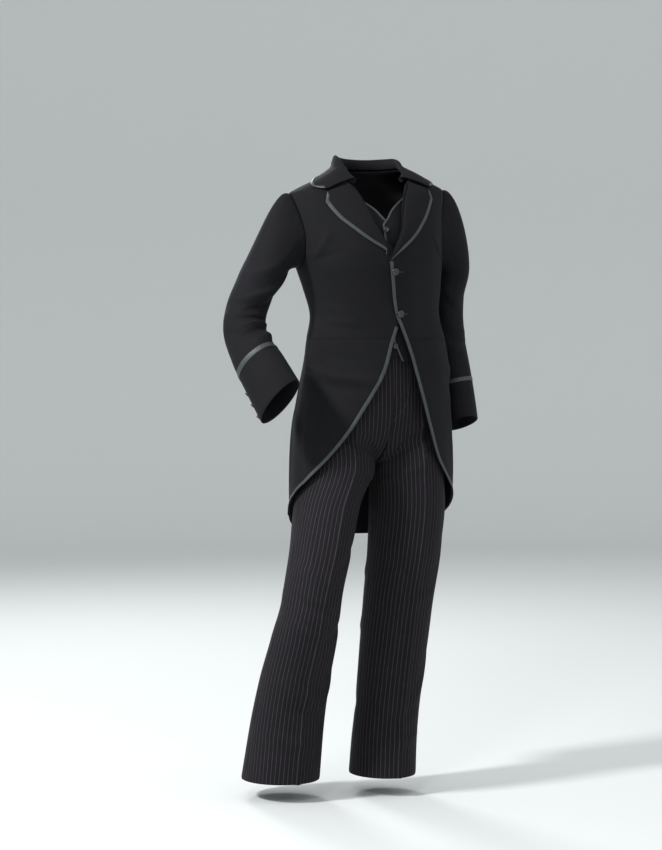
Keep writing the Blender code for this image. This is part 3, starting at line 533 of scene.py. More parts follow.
# Start angle and height, end angle and height, depth, width, bow. Positive depths stand out
coatFolds = [
    (-96, 1.004, -12, 0.966, 0.0062, 0.011, 0.006),    # the drag from the right hip to the cut-away edge
    (-88, 0.982, -24, 0.942, -0.0038, 0.012, 0.005),
    (-70, 1.028, -22, 1.012, -0.0016, 0.010, 0.002),
    (-108, 0.900, -60, 0.800, 0.0022, 0.020, 0.006),
    (-84, 0.940, -72, 0.700, -0.0022, 0.016, 0.006),
    (-58, 0.930, -66, 0.790, 0.0018, 0.014, -0.004),
    (30, 1.010, 84, 0.985, 0.0020, 0.013, -0.004),
    (46, 0.980, 92, 0.940, -0.0022, 0.014, 0.003),
    (60, 0.930, 76, 0.710, 0.0024, 0.018, 0.006),
    (84, 0.900, 94, 0.690, -0.0022, 0.016, -0.005),
    (-66, 1.245, -44, 1.315, 0.0022, 0.009, 0.004),     # drags from the front of the right armhole
    (-71, 1.232, -36, 1.262, -0.0016, 0.009, -0.003),
    (-80, 1.150, -40, 1.120, 0.0014, 0.010, 0.003),
    (-60, 1.095, -20, 1.078, -0.0014, 0.008, 0.002),
    (-72, 1.112, -34, 1.098, 0.0014, 0.008, 0.002),
    (62, 1.240, 42, 1.300, 0.0018, 0.009, -0.004),
    (70, 1.112, 28, 1.094, 0.0015, 0.008, -0.002),
    (58, 1.090, 24, 1.076, -0.0014, 0.008, 0.002),
    (112, 1.040, 104, 0.700, 0.0030, 0.020, 0.006),     # the skirts flare behind the hips
    (128, 1.030, 126, 0.660, -0.0030, 0.018, -0.004),
    (142, 1.040, 144, 0.640, 0.0030, 0.020, 0.003),
    (-114, 1.035, -106, 0.690, 0.0030, 0.020, -0.006),
    (-130, 1.030, -127, 0.650, -0.0032, 0.018, 0.004),
    (-143, 1.040, -146, 0.640, 0.0028, 0.020, -0.003),
    (168, 1.000, 170, 0.640, -0.0018, 0.018, 0.003),
    (-167, 1.010, -170, 0.640, -0.0018, 0.018, -0.003),
    (122, 1.230, 150, 1.160, 0.0020, 0.011, 0.004),     # soft drags across the back waist
    (118, 1.120, 160, 1.085, -0.0016, 0.010, 0.003),
    (-124, 1.225, -152, 1.150, 0.0022, 0.011, -0.004),
    (-116, 1.115, -158, 1.090, -0.0018, 0.010, -0.003),
    (-120, 1.300, -150, 1.330, 0.0016, 0.012, 0.003),
    (118, 1.305, 148, 1.325, 0.0016, 0.012, -0.003),
]
coatFoldPlaces = np.array(coatFolds) * [metresPerDegree, 1, metresPerDegree, 1, 1, 1, 1]


def coatRelief(angle, height):
    wrapped = np.where(angle > 180, angle - 360, angle)
    out = folded(wrapped * metresPerDegree, height, coatFoldPlaces)
    # Folds that stand out are drawn half as deep again; those that go in aren't, to clear the waistcoat
    return np.where(out > 0, 1.5 * out, out)


def lapLift(angle, height):
    # The left front's stand over the right: full to 9 degrees, gone by 26 and below 0.985 m
    return coatCut["lap"] * (1 - ease(angle, 9.0, 26.0)) * ease(height, 0.985, 1.03)


def coatPanel(name, node, grid, side, lift=0.0):
    # Form + normal * (folds + lift), mapped in metres
    angle, height = grid[..., 0] * side, grid[..., 1]
    out = coatRelief(angle, height) + lift
    points = coat(angle, height)
    points = points + formNormals(coat, angle, height) * out[..., None]
    uv = np.stack([angle * metresPerDegree, height], -1)
    return garment(name, node, points, uv, coatCut["cloth"], coatWool,
                   turn=side)


def between(left, right, shares):
    # left (1 - s) + right s for each row
    s = shares[None, :, None]
    return left[:, None] * (1 - s) + right[:, None] * s


def frontBorder(side):
    # The free edge of a front: down the cut-away edge, then the roll line up to the neck
    heights = np.array(coatCut["frontHeights"])
    edge = leftEdge if side > 0 else rightEdge
    roll = smooth(rollLine, "angle", heights) + 6 * ease(heights, 1.405, 1.43)
    angles = np.where(np.arange(18) < 4, smooth(edge, "angle", heights), roll)
    if side < 0:
        angles[4:7] = [-9.0, -2.0, 4.5]
    return angles, heights


def coatFront(side, word):
    # Rows from the waist to the neck, between the free edge and side seam, armhole and shoulder
    r = spans((0, 4, 34), (4, 13, 60), (13, 17, 14))
    angles, heights = frontBorder(side)
    place = np.arange(18.0)
    left = pairs(through(place, angles, r), through(place, heights, r))
    seamHeights = through(np.arange(5.0), sideSeam["height"], np.clip(r, 0, 4))
    neck = through(np.arange(5.0), np.array(coatCut["shoulderHeights"]), np.clip(r - 13, 0, 4))
    hole = armhole(20 * np.clip(r - 4, 0, 9))
    right = np.where((r < 4)[:, None], pairs(smooth(sideSeam, "angle", seamHeights), seamHeights), hole)
    right = np.where((r > 13)[:, None], pairs(90.0, neck), right)
    grid = between(left, right, across(0.26, 64))
    lift = lapLift(grid[..., 0], grid[..., 1]) if side > 0 else 0.0
    return coatPanel(f"coatFront_{word}", f"coat_front_{word}", grid, side, lift=lift)


def coatSideBody(side, word):
    # Between the side and back seams, with its top row bent to the armhole
    r = spans((0, 4, 44))
    low = through(np.arange(5.0), sideSeam["height"], r)
    high = through(np.arange(5.0), backSeam["height"], r)
    shares = across(0.13, 26)
    grid = between(
        pairs(smooth(sideSeam, "angle", low), low), pairs(smooth(backSeam, "angle", high), high), shares
    )
    top = armhole(-60 * shares)
    grid = grid + (top[None] - grid[-1:]) * ((r / 4) ** 3)[:, None, None]
    return coatPanel(f"coatSideBody_{word}", f"coat_side_body_{word}", grid, side)


def tailLine(heights):
    # The skirt's back seam: 153 degrees at the waist, near 156 and about 60 mm lower at the hem
    angle = 153.0 + 3.0 * (1 - (heights - hemHeight) / (waistHeight - hemHeight))
    return pairs(angle, heights - (0.657 - hemHeight) * (1 - ease(heights, 0.64, 0.80)))


def coatSkirt(side, word):
    # Below the waist seam, from the cut-away edge to the tail
    r = spans((0, 4, 40), (4, 11, 70))
    heights = through(np.arange(12.0), np.array(coatCut["tailHeights"]), r)
    edge = leftEdge if side > 0 else rightEdge
    front, tail = pairs(smooth(edge, "angle", heights), heights), tailLine(heights)
    shares = across(0.42, 92)
    grid = between(front, pairs(tail[:, 0], heights), shares)
    grid[..., 1] -= (heights - tail[:, 1])[:, None] * shares[None] ** 0.7
    lift = lapLift(grid[..., 0], grid[..., 1]) if side > 0 else 0.0
    return coatPanel(f"coatSkirt_{word}", f"coat_skirt_{word}", grid, side, lift=lift)


def coatBack(side, word):
    # From the tail to the neck, between the seams and the centre back
    r = spans((0, 11, 96), (11, 15, 40), (15, 21, 40), (21, 25, 14))
    tailHeights = through(np.arange(12.0), np.array(coatCut["tailHeights"]), np.clip(r, 0, 11))
    seam = through(np.arange(5.0), backSeam["height"], np.clip(r - 11, 0, 4))
    neck = through(np.arange(5.0), np.array(coatCut["shoulderHeights"]), np.clip(r - 21, 0, 4))
    left = tailLine(tailHeights)
    left = np.where((r > 11)[:, None], pairs(smooth(backSeam, "angle", seam), seam), left)
    left = np.where((r > 15)[:, None], armhole(-(60 + 20 * np.clip(r - 15, 0, 6))), left)
    left = np.where((r > 21)[:, None], pairs(90.0, neck), left)
    tail = tailLine(np.array(coatCut["tailHeights"]))[:, 1]
    centre = pairs(180.0, through(np.arange(26.0), np.append(tail, coatCut["backHeights"]), r))
    grid = between(left, centre, across(0.20, 44))
    return coatPanel(f"coatBack_{word}", f"coat_back_{word}", grid, side)


lapelCut = {"clear": 0.0008, "belly": 0.0042, "rise": [0.2, 0.4, 0.6, 0.8, 1.0, 1.0, 0.85, 0.45]}


def lapelBorders(side):
    # Eight points each of the roll line and the outer edge
    t = np.linspace(0, 1, 8)
    inner = 1.243 + (lapelTop[0, 1] - 1.243) * t
    outer = 1.241 + (lapelTop[-1, 1] - 1.241) * t
    roll = pairs(smooth(rollLine, "angle", inner), inner)
    tip = pairs(smooth(lapelEdge, "angle", outer), outer)
    if side < 0:
        roll[:2] = [(4.0, 1.254), (4.3, 1.276)]
        tip[0] = (6.5, 1.2535)
    return roll, tip


def lapelAt(side, row, share):
    # A point of the lapel: between the roll line and the outer edge, with the
    # top bent to the gorge and notch
    roll, tip = lapelBorders(side)
    place = np.arange(8.0)
    a = np.stack([through(place, roll[:, k], row * 7) for k in (0, 1)], -1)
    b = np.stack([through(place, tip[:, k], row * 7) for k in (0, 1)], -1)
    straight = a * (1 - share[..., None]) + b * share[..., None]
    last = roll[-1] * (1 - share[..., None]) + tip[-1] * share[..., None]
    knots = np.linspace(0, 1, 6)
    top = np.stack([np.interp(share, knots, lapelTop[:, k]) for k in (0, 1)], -1)
    grid = straight + (top - last) * (row ** 3)[..., None]
    rise = np.interp(row, place / 7, lapelCut["rise"])
    lift = coatCut["cloth"] + lapelCut["clear"] + lapelCut["belly"] * np.sin(np.pi * share ** 0.6) * rise
    if side > 0:
        lift = lift + 0.0004 + lapLift(grid[..., 0], grid[..., 1])
    angle = grid[..., 0] * side
    return coat(angle, grid[..., 1]) + formNormals(coat, angle, grid[..., 1]) * lift[..., None]


def lapel(side, word):
    # The lapel's grid as cloth
    row, share = np.meshgrid(across(0.16, 52), across(0.075, 26), indexing="ij")
    points = lapelAt(side, row, share)
    uv = np.stack([share * 0.075, row * 0.16], -1)
    return garment(f"lapelCloth_{word}", f"lapel_{word}", points, uv, coatCut["cloth"], coatWool,
                   turn=side)


def collarSurface(station, row):
    # Station runs from the right front end (-6) round the back (0) to the left one (+6); row runs from the
    # foot of the stand (0) over the fold (3) down to the edge of the leaf (6)
    k = 6 - np.abs(station)
    foldAngle, foldHeight = smooth(collarFold, "angle", k), smooth(collarFold, "height", k)
    edgeAngle, edgeHeight = smooth(collarEdge, "angle", k), smooth(collarEdge, "height", k)
    turn = lambda angle: np.where(station > 0, angle, 360 - angle)
    low = np.minimum(foldHeight - 0.012, 1.4575)
    standAngle = foldAngle - 6 * (1 - ease(k, 0, 1.5))
    lines = [
        ring(coatForm, turn(standAngle), low, 0.0064),
        ring(coatForm, turn(standAngle), 0.5 * (low + foldHeight), 0.0054),
        ring(coatForm, turn(standAngle + 2), foldHeight - 0.001, 0.0021),
        ring(coatForm, turn(foldAngle), foldHeight, -0.0042),
    ]
    near = 1 - ease(k, 0, 1.0)
    for number, share in enumerate((0.3, 0.62, 1.0)):
        angle = foldAngle + (edgeAngle - foldAngle) * share
        height = foldHeight + (edgeHeight - foldHeight) * share
        angle = angle + (collarEnd[number, 0] - angle) * near
        height = height + (collarEnd[number, 1] - height) * near
        out = halfCloth + lapelCut["clear"] + 0.0050 * (1 - share) + 0.0026 * np.sin(np.pi * share)
        normal = formNormals(coat, turn(angle), height)
        lines.append(coat(turn(angle), height) + normal * out)
    lines = np.stack(lines)
    # Cubic between the seven lines, with slopes from the neighbours on both sides
    i = np.clip(np.floor(row).astype(int), 0, 5)
    u = (row - i)[..., None]
    pick = lambda j: np.take_along_axis(lines, np.clip(j, 0, 6)[None, ..., None], 0)[0]
    p0, p1, p2, p3 = pick(i - 1), pick(i), pick(i + 1), pick(i + 2)
    return 0.5 * (2 * p1 + (p2 - p0) * u + (2 * p0 - 5 * p1 + 4 * p2 - p3) * u ** 2
                  + (3 * p1 - p0 - 3 * p2 + p3) * u ** 3)


def collar():
    # Stand and leaf as one cloth, 2.5 mm about its middle
    row, station = np.meshgrid(across(0.085, 54) * 6, (across(0.52, 130) - 0.5) * 12, indexing="ij")
    points = collarSurface(station, row)
    n = gridNormals(points)
    uv = np.stack([station * 0.043, row * 0.014], -1)
    # The leaf's face is outside: it starts half a thickness out from the middle line
    outward = -1.0
    piece = clothShell("coatCollar", points + n * outward * halfCloth, uv, coatCut["cloth"], coatWool,
                       turn=outward)
    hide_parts("coat_collar")
    return piece


for side, word in ((1, "left"), (-1, "right")):
    coatFront(side, word)
    coatSideBody(side, word)
    coatSkirt(side, word)
    coatBack(side, word)
    lapel(side, word)
collar()
print("coat body made")


# Sleeves

sleeveCut = {"foreSeam": 100, "hindSeam": 260, "slant": 0.016, "headOut": 0.66, "headUp": 0.38,
             "reach": 0.9}
stationLength = 0.058
# Start turn and station, end turn and station, depth, width, bow
rightSleeveFolds = [
    (160, -0.1, 20, 1.9, 0.0066, 0.012, 0.008),      # from the armpit down the front of the upper arm
    (170, 0.5, 40, 2.5, -0.0056, 0.012, 0.008),
    (110, -0.5, 15, 0.8, 0.0040, 0.012, 0.006),
    (128, 2.5, 8, 2.75, -0.0056, 0.0095, 0.006),   # the elbow's bend
    (134, 2.9, 10, 3.25, 0.0060, 0.0095, 0.006),
    (138, 3.2, 12, 3.75, -0.0060, 0.0095, 0.006),
    (130, 3.6, 30, 4.2, 0.0040, 0.0095, 0.004),
    (126, 3.9, 62, 4.7, -0.0030, 0.0080, 0.003),
    (10, 2.2, -36, 2.7, 0.0018, 0.011, 0.004),
    (8, 3.3, -30, 3.0, -0.0022, 0.010, 0.004),
    (176, 2.2, 236, 2.6, -0.0030, 0.009, 0.003),
    (178, 2.9, 244, 2.9, 0.0030, 0.009, 0.003),
    (176, 3.5, 238, 3.3, -0.0028, 0.009, -0.003),
    (190, 0.5, 240, 1.6, 0.0022, 0.011, 0.004),
    (30, 4.9, 75, 5.6, 0.0014, 0.012, 0.003),
    (-40, 0.2, -60, 1.4, 0.0016, 0.012, 0.003),
]
leftSleeveFolds = [
    (150, 0.2, 70, 1.2, 0.0026, 0.010, 0.004),
    (140, 0.7, 60, 1.8, -0.0024, 0.010, 0.004),
    (110, 2.2, 30, 2.6, 0.0024, 0.009, 0.004),
    (118, 2.6, 20, 3.1, -0.0030, 0.009, 0.005),
    (110, 3.1, 40, 3.5, 0.0026, 0.009, 0.003),
    (20, 0.8, 5, 2.2, 0.0018, 0.013, 0.003),
    (60, 3.8, 76, 5.2, -0.0014, 0.012, 0.003),
    (-30, 2.2, -80, 2.8, 0.0020, 0.011, 0.003),
    (-40, 2.9, -85, 3.3, -0.0020, 0.011, 0.003),
    (236, 1.6, 190, 2.3, 0.0018, 0.011, 0.003),
    (240, 2.4, 186, 3.0, -0.0018, 0.010, 0.003),
]


def armLine(arm, station):
    # An arm's centre, and its outward, forward and downward directions at a station
    centre = lambda at: np.stack(
        [smooth(arm, "x", at), smooth(arm, "y", at), smooth(arm, "height", at) - heldHeight], -1
    )
    along = unit(centre(np.minimum(station + 0.4, 6)) - centre(np.maximum(station - 0.4, 0)))
    side = np.sign(arm["x"][0])
    turned = np.radians(smooth(arm, "turned", station))
    outward = np.stack([side * np.cos(turned), -np.sin(turned), 0 * turned], -1)
    forward = unit(np.cross(along, outward) * side)
    return centre(station), np.cross(forward, along) * side, forward, along


def sleeveSurface(arm, turn, station):
    # Ovals along the arm; the head is a cubic from the armhole, leaving sideways and arriving along the arm
    side = np.sign(arm["x"][0])
    a, onArm = np.radians(turn), np.clip(station, 0, 6)
    centre, outward, forward, along = armLine(arm, onArm)
    armRing = (
        centre + outward * (smooth(arm, "halfOut", onArm) * np.cos(a))[..., None]
        + forward * (smooth(arm, "halfDeep", onArm) * np.sin(a))[..., None]
        - along * (sleeveCut["slant"] * np.sin(a) * ease(onArm, 3, 6))[..., None]
    )
    hole = armhole(180 - turn)
    holeRing = coat(hole[..., 0] * side, hole[..., 1])
    toward = coat(90.0 * side, 1.3125) - holeRing
    toward[..., 0] = 0
    holeRing = holeRing + unit(toward) * 0.0006
    reach = np.linalg.norm(armRing - holeRing, axis=-1) * sleeveCut["reach"]
    top = np.clip(np.cos(a), 0, 1)
    leave = np.stack([side * sleeveCut["headOut"] * reach * (0.35 + 0.65 * top), 0 * a,
                      sleeveCut["headUp"] * reach * top], -1)
    w = np.clip(station + 1, 0, 1)[..., None]
    head = (
        holeRing * (1 + 2 * w) * (1 - w) ** 2 + armRing * w * w * (3 - 2 * w)
        + leave * w * (1 - w) ** 2 - along * reach[..., None] * w * w * (1 - w)
    )
    return np.where(station[..., None] >= 0, armRing, head)


def sleeveRelief(arm, turn, station):
    # Folds in metres round and along the sleeve, and the head's puckers
    folds = np.array(leftSleeveFolds if arm is leftArm else rightSleeveFolds)
    perTurn = np.pi / 180 * 0.052
    places = folds * [perTurn, stationLength, perTurn, stationLength, 1, 1, 1]
    wrapped = np.where(turn < -100, turn + 360, turn)
    out = folded(wrapped * perTurn, station * stationLength, places)
    # Fullness eased into the head: small even puckers that die out below the armhole seam
    pucker = 0.0007 * np.cos(np.radians(turn) * 15) * np.exp(-((station + 0.86) / 0.10) ** 2)
    return (out + pucker * (np.cos(np.radians(turn)) > 0)) * ease(station, -1.0, -0.8)


def sleevePoints(arm, turn, station):
    # Sleeve + outward normal * folds
    points = sleeveSurface(arm, turn, station)
    step = sleeveSurface(arm, turn + 1, station) - sleeveSurface(arm, turn - 1, station)
    down = sleeveSurface(arm, turn, station + 0.01) - sleeveSurface(arm, turn, station - 0.01)
    out = unit(np.cross(down, step)) * np.sign(arm["x"][0])
    outward = np.sign((out * (points - armLine(arm, np.clip(station, 0, 6))[0])).sum(-1, keepdims=True))
    relief = sleeveRelief(arm, turn, station)[..., None]
    return points + out * np.where(outward == 0, 1, outward) * relief


def sleevePart(arm, name, node, first, last):
    # One of a sleeve's two panels, between two turns
    turns = first + (last - first) * across(0.17, 56)
    stations = -1 + 7 * across(0.60, 150)
    station, turn = np.meshgrid(stations, turns, indexing="ij")
    points = sleevePoints(arm, turn, station)
    uv = np.stack([turn * 0.0009, -station * stationLength], -1)
    return garment(name, node, points, uv, coatCut["cloth"], coatWool,
                   turn=np.sign(arm["x"][0]))


for arm, word in ((leftArm, "left"), (rightArm, "right")):
    fore, hind = sleeveCut["foreSeam"], sleeveCut["hindSeam"]
    sleevePart(arm, f"topSleeve_{word}", f"top_sleeve_{word}", hind - 360, fore)
    sleevePart(arm, f"underSleeve_{word}", f"under_sleeve_{word}", fore, hind)
print("sleeves made")

# Trousers

trouserCut = {"cloth": 0.0016, "forkTop": 0.930, "fork": 0.775, "bandLow": 1.046,
              "bandHeight": 0.038, "bandCloth": 0.002,
              "hem": 0.045, "creaseHigh": 0.0085, "creaseWide": 0.010}
# Start share and height, end share and height, depth, width, bow. Share 0 is the side seam, 1 the inseam
rightLegFolds = [
    (0.95, 0.800, 0.30, 0.900, 0.0036, 0.012, 0.006),
    (0.98, 0.770, 0.35, 0.840, -0.0034, 0.012, 0.005),
    (0.96, 0.735, 0.40, 0.760, 0.0026, 0.012, 0.004),
    (0.10, 0.560, 0.55, 0.500, 0.0030, 0.014, 0.005),
    (0.92, 0.600, 0.55, 0.540, -0.0030, 0.013, -0.005),
    (0.15, 0.480, 0.70, 0.440, -0.0034, 0.012, 0.006),
    (0.10, 0.430, 0.60, 0.390, 0.0030, 0.012, 0.005),
    (0.95, 0.420, 0.50, 0.370, -0.0028, 0.012, -0.004),
    (0.20, 0.660, 0.30, 0.520, 0.0020, 0.016, 0.004),
    (0.25, 0.300, 0.70, 0.240, 0.0030, 0.013, 0.005),
    (0.30, 0.230, 0.85, 0.190, -0.0036, 0.013, 0.005),
    (0.15, 0.170, 0.70, 0.130, 0.0034, 0.013, 0.006),
    (0.90, 0.300, 0.60, 0.170, 0.0024, 0.014, 0.004),
]
leftLegFolds = [
    (0.95, 0.800, 0.35, 0.910, 0.0034, 0.012, 0.005),
    (0.98, 0.765, 0.30, 0.860, -0.0032, 0.012, 0.005),
    (0.95, 0.720, 0.45, 0.770, 0.0024, 0.012, 0.004),
    (0.20, 0.600, 0.30, 0.420, 0.0018, 0.016, 0.004),
    (0.85, 0.560, 0.55, 0.500, -0.0024, 0.013, 0.004),
    (0.25, 0.480, 0.65, 0.450, 0.0022, 0.013, 0.004),
    (0.92, 0.440, 0.50, 0.390, -0.0022, 0.012, -0.004),
    (0.15, 0.330, 0.40, 0.200, 0.0022, 0.016, 0.005),
    (0.30, 0.210, 0.80, 0.170, -0.0030, 0.013, 0.005),
    (0.20, 0.150, 0.75, 0.120, 0.0030, 0.013, 0.005),
    (0.92, 0.260, 0.62, 0.180, 0.0022, 0.013, 0.003),
]
legMetres = 0.25


def trouserSurface(leg, share, height, facing):
    # The hip oval's quarter passes into the leg's half oval below the fork; facing is -1 front, +1 back
    side = np.sign(leg["x"][0])
    hipAngle = 90 * (1 - share) if facing < 0 else 90 + 90 * share
    hip = ring(hipForm, side * hipAngle, height)
    a = np.pi * share
    x = smooth(leg, "x", height) + side * smooth(leg, "halfWidth", height) * np.cos(a)
    y = smooth(leg, "y", height) + facing * smooth(leg, "halfDeep", height) * np.sin(a)
    tube = np.stack([x, y, height - heldHeight], -1)
    down = np.clip((trouserCut["forkTop"] - height) / (trouserCut["forkTop"] - trouserCut["fork"]), 0, 1)
    # Round the fork the change is sudden; toward the middle of the panel it is spread out
    sudden, spread = 1 - np.sqrt(np.clip(1 - down ** 2.4, 0, 1)), ease(down, 0, 1) ** 1.7
    near = ease(share, 0.62, 0.98)
    w = (sudden * near + spread * (1 - near))[..., None]
    return hip * (1 - w) + tube * w


def trouserPart(leg, facing, name, node):
    # One leg panel: surface + normal * (folds + pressed crease)
    side = np.sign(leg["x"][0])
    heights = spans((trouserCut["hem"], 0.200, 34), (0.200, 0.700, 92), (0.700, trouserCut["forkTop"], 56),
                    (trouserCut["forkTop"], trouserCut["bandLow"], 22))
    height, share = np.meshgrid(heights, across(0.25, 62), indexing="ij")
    points = trouserSurface(leg, share, height, facing)
    turn = side * facing
    n = gridNormals(points) * turn
    folds = np.array(leftLegFolds if side > 0 else rightLegFolds) * [legMetres, 1, legMetres, 1, 1, 1, 1]
    if facing > 0:
        # Behind, the same kinds of fold in other places: shallower, and a little lower
        folds = folds * [1, 1, 1, 1, -0.8, 1.1, 1] + [0.02, -0.03, -0.01, -0.03, 0, 0, 0]
    out = 1.5 * folded(share * legMetres, height, folds)
    # The grain line falls straight down the middle of the leg, and
    # everything is measured from it, round the row
    along, middleX = runLengths(points, 1), -side * smooth(leg, "x", heights)
    middle = np.array([
        np.interp(x, row, run) for x, row, run in zip(middleX, -side * points[..., 0], along)
    ])
    fromMiddle = along - middle[:, None]
    # The pressed crease is a narrow ridge on that line, soft at the knee and gone at the hip
    pressed = np.exp(-np.abs(fromMiddle) / (trouserCut["creaseWide"] / 2))
    held = (1 - ease(height, 0.80, 0.95)) * (1 - 0.45 * np.exp(-((height - 0.47) / 0.07) ** 2))
    out = out * ease(height, 0.05, 0.10) * (1 - ease(height, 0.93, 1.02))
    rim = np.minimum(share, 1 - share) * legMetres
    out = out * ease(rim, 0.0, 0.045) + trouserCut["creaseHigh"] * pressed * held
    points = points + n * out[..., None]
    # The stripes' map is in real metres: across from the grain line, and up
    uv = np.stack([fromMiddle * facing * side, height], -1)
    return garment(name, node, points, uv, trouserCut["cloth"], trouserWool,
                   turn=turn)


def waistband(side, word):
    # Half a turn of the hip oval, 38 mm high
    tall = trouserCut["bandHeight"]
    heights = trouserCut["bandLow"] + tall * across(tall, 10)
    height, share = np.meshgrid(heights, across(0.40, 80), indexing="ij")
    angle = side * 180 * share
    points = hips(angle, height)
    uv = np.stack([angle * 0.0024, height], -1)
    return garment(f"trouserBand_{word}", f"waistband_{word}", points, uv, trouserCut["bandCloth"],
                   trouserWool, turn=side)


for leg, word, side in ((leftLeg, "left", 1), (rightLeg, "right", -1)):
    trouserPart(leg, -1, f"trouserFront_{word}", f"trouser_front_{word}")
    trouserPart(leg, 1, f"trouserBack_{word}", f"trouser_back_{word}")
    waistband(side, word)
print("trousers made")

# Waistcoat

waistcoatCut = {"cloth": 0.0020, "lap": 0.0025, "armholeMiddle": 1.306, "armholeHalf": 0.112,
                "spread": 37.0}
waistcoatFolds = np.array([
    (-40, 1.120, -8, 1.105, 0.0014, 0.008, 0.003), (-44, 1.090, -10, 1.080, -0.0014, 0.008, 0.003),
    (12, 1.110, 44, 1.125, 0.0014, 0.008, 0.003), (14, 1.085, 46, 1.092, -0.0012, 0.008, -0.003),
    (-20, 1.390, -8, 1.345, 0.0010, 0.008, 0.002), (140, 1.200, 175, 1.120, 0.0016, 0.010, 0.003),
    (-140, 1.190, -172, 1.125, 0.0016, 0.010, 0.003),
]) * [underMetresPerDegree, 1, underMetresPerDegree, 1, 1, 1, 1]


def waistcoatHole(turn):
    # The waistcoat's armhole, wider than the coat's
    a = np.radians(turn)
    return pairs(90 - waistcoatCut["spread"] * np.sin(a),
                 waistcoatCut["armholeMiddle"] - waistcoatCut["armholeHalf"] * np.cos(a))


waistcoatSides = [1.035, 1.060, 1.100, 1.135, 1.165, 1.194]


def waistcoatBorder(r, side):
    # Side seam, armhole and shoulder, as one line: 0 to 5, 5 to 12 and 12 to 15
    seam = pairs(90.0, through(np.arange(6.0), np.array(waistcoatSides), np.clip(r, 0, 5)))
    hole = waistcoatHole(side * 180 * np.clip((r - 5) / 7, 0, 1))
    neck = pairs(90.0, 1.418 + (1.4535 - 1.418) * np.clip((r - 12) / 3, 0, 1))
    return np.where((r < 5)[:, None], seam, np.where((r > 12)[:, None], neck, hole))


def waistcoatPanel(name, node, grid, side, lift=0.0):
    # Form + normal * (folds + lift)
    angle, height = grid[..., 0] * side, grid[..., 1]
    wrapped = np.where(angle > 180, angle - 360, angle)
    out = folded(wrapped * underMetresPerDegree, height, waistcoatFolds) + lift
    points = waistcoat(angle, height) + formNormals(waistcoat, angle, height) * out[..., None]
    uv = np.stack([angle * underMetresPerDegree, height], -1)
    return garment(name, node, points, uv, waistcoatCut["cloth"], waistcoatWool,
                   turn=side)


def waistcoatLift(angle, height):
    # The left front's stand over the right one: full to 7 degrees, gone by 22 and above 1.37 m
    return waistcoatCut["lap"] * (1 - ease(angle, 7.0, 22.0)) * (1 - ease(height, 1.337, 1.37))


def waistcoatFront(side, word):
    # Between the free edge and side seam, armhole and shoulder
    r = spans((0, 5, 34), (5, 12, 52), (12, 15, 10))
    knots = np.array([1.007, 1.035, 1.080, 1.125, 1.160, 1.200, 1.245, 1.290, 1.318, 1.340, 1.362, 1.385,
                      1.400, 1.415, 1.432, 1.4500])
    heights = through(np.arange(16.0), knots, r)
    left = pairs(smooth(waistcoatEdge, "angle", heights), heights)
    grid = between(left, waistcoatBorder(r, 1), across(0.23, 50))
    lift = waistcoatLift(grid[..., 0], grid[..., 1]) if side > 0 else 0.0
    return waistcoatPanel(f"waistcoatFront_{word}", f"waistcoat_front_{word}", grid, side, lift)


def waistcoatBack():
    # From side to side in one piece
    r = spans((0, 5, 34), (5, 12, 52), (12, 15, 10))
    edge = waistcoatBorder(r, -1)
    other = edge * [-1, 1] + [360, 0]
    return waistcoatPanel("waistcoatBack", "waistcoat_back", between(edge, other, across(0.45, 96)), 1)


for side, word in ((1, "left"), (-1, "right")):
    waistcoatFront(side, word)
waistcoatBack()
print("waistcoat made")

# Braid

# The cuff places are stations of the arm; narrow is the waistcoat binding
braidCut = {"width": 0.0075, "thick": 0.0009, "clear": 0.0003, "narrow": 0.0042,
            "cuffTop": 4.36, "cuffMiddle": 4.44, "cuffFoot": 4.52}


def braidShell(name, edge, inner, out, nodes=()):
    # A flat braid between two lines on the cloth: five lines across, thickest in the middle
    share = np.array([0.0, 0.14, 0.5, 0.86, 1.0])
    flat = edge[:, None] * (1 - share)[None, :, None] + inner[:, None] * share[None, :, None]
    high = braidCut["thick"] * np.array([0.35, 0.85, 1.0, 0.85, 0.35])[None, :, None]
    normal = out[:, None]
    low = flat + normal * braidCut["clear"]
    rows = len(edge)
    run = runLengths(edge[:, None], 0)[:, 0]
    uv = np.stack(np.broadcast_arrays(share[None] * braidCut["width"], run[:, None]), -1).reshape(-1, 2)
    both = np.concatenate([(low + normal * high).reshape(-1, 3), low.reshape(-1, 3)])
    facing = np.cross(flat[1, 0] - flat[0, 0], flat[0, -1] - flat[0, 0]) @ out[0]
    piece = putMesh(name, both, wallFaces(rows, 5, facing > 0), np.concatenate([uv, uv]), braid)
    if nodes:
        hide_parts(*nodes)
    # The flat cut's width and length, each at least 10 mm, are worked out here but not used.
    # The flat cut is never stated smaller than 10 mm each way, and the area is the braid's own
    width = float(np.linalg.norm(edge - inner, axis=-1).mean())
    length = max(round(float(run[-1]), 3), 0.010)
    flat = (max(round(width, 4), 0.010), length)
    return piece


def insetLine(points, width):
    # The line a braid's width inside a front edge, square to it on the form
    radius = 0.16 * np.pi / 180
    run = unit(np.gradient(points * [radius, 1.0], axis=0))
    return points + np.stack([run[:, 1], -run[:, 0]], -1) * width / [radius, 1.0]


def onCoat(grid, side):
    # Points on the coat's folded face, and its normals
    angle, height = grid[:, 0] * side, grid[:, 1]
    lift = coatRelief(angle, height) + (lapLift(grid[:, 0], height) if side > 0 else 0.0)
    n = formNormals(coat, angle, height)
    return coat(angle, height) + n * lift[:, None], n


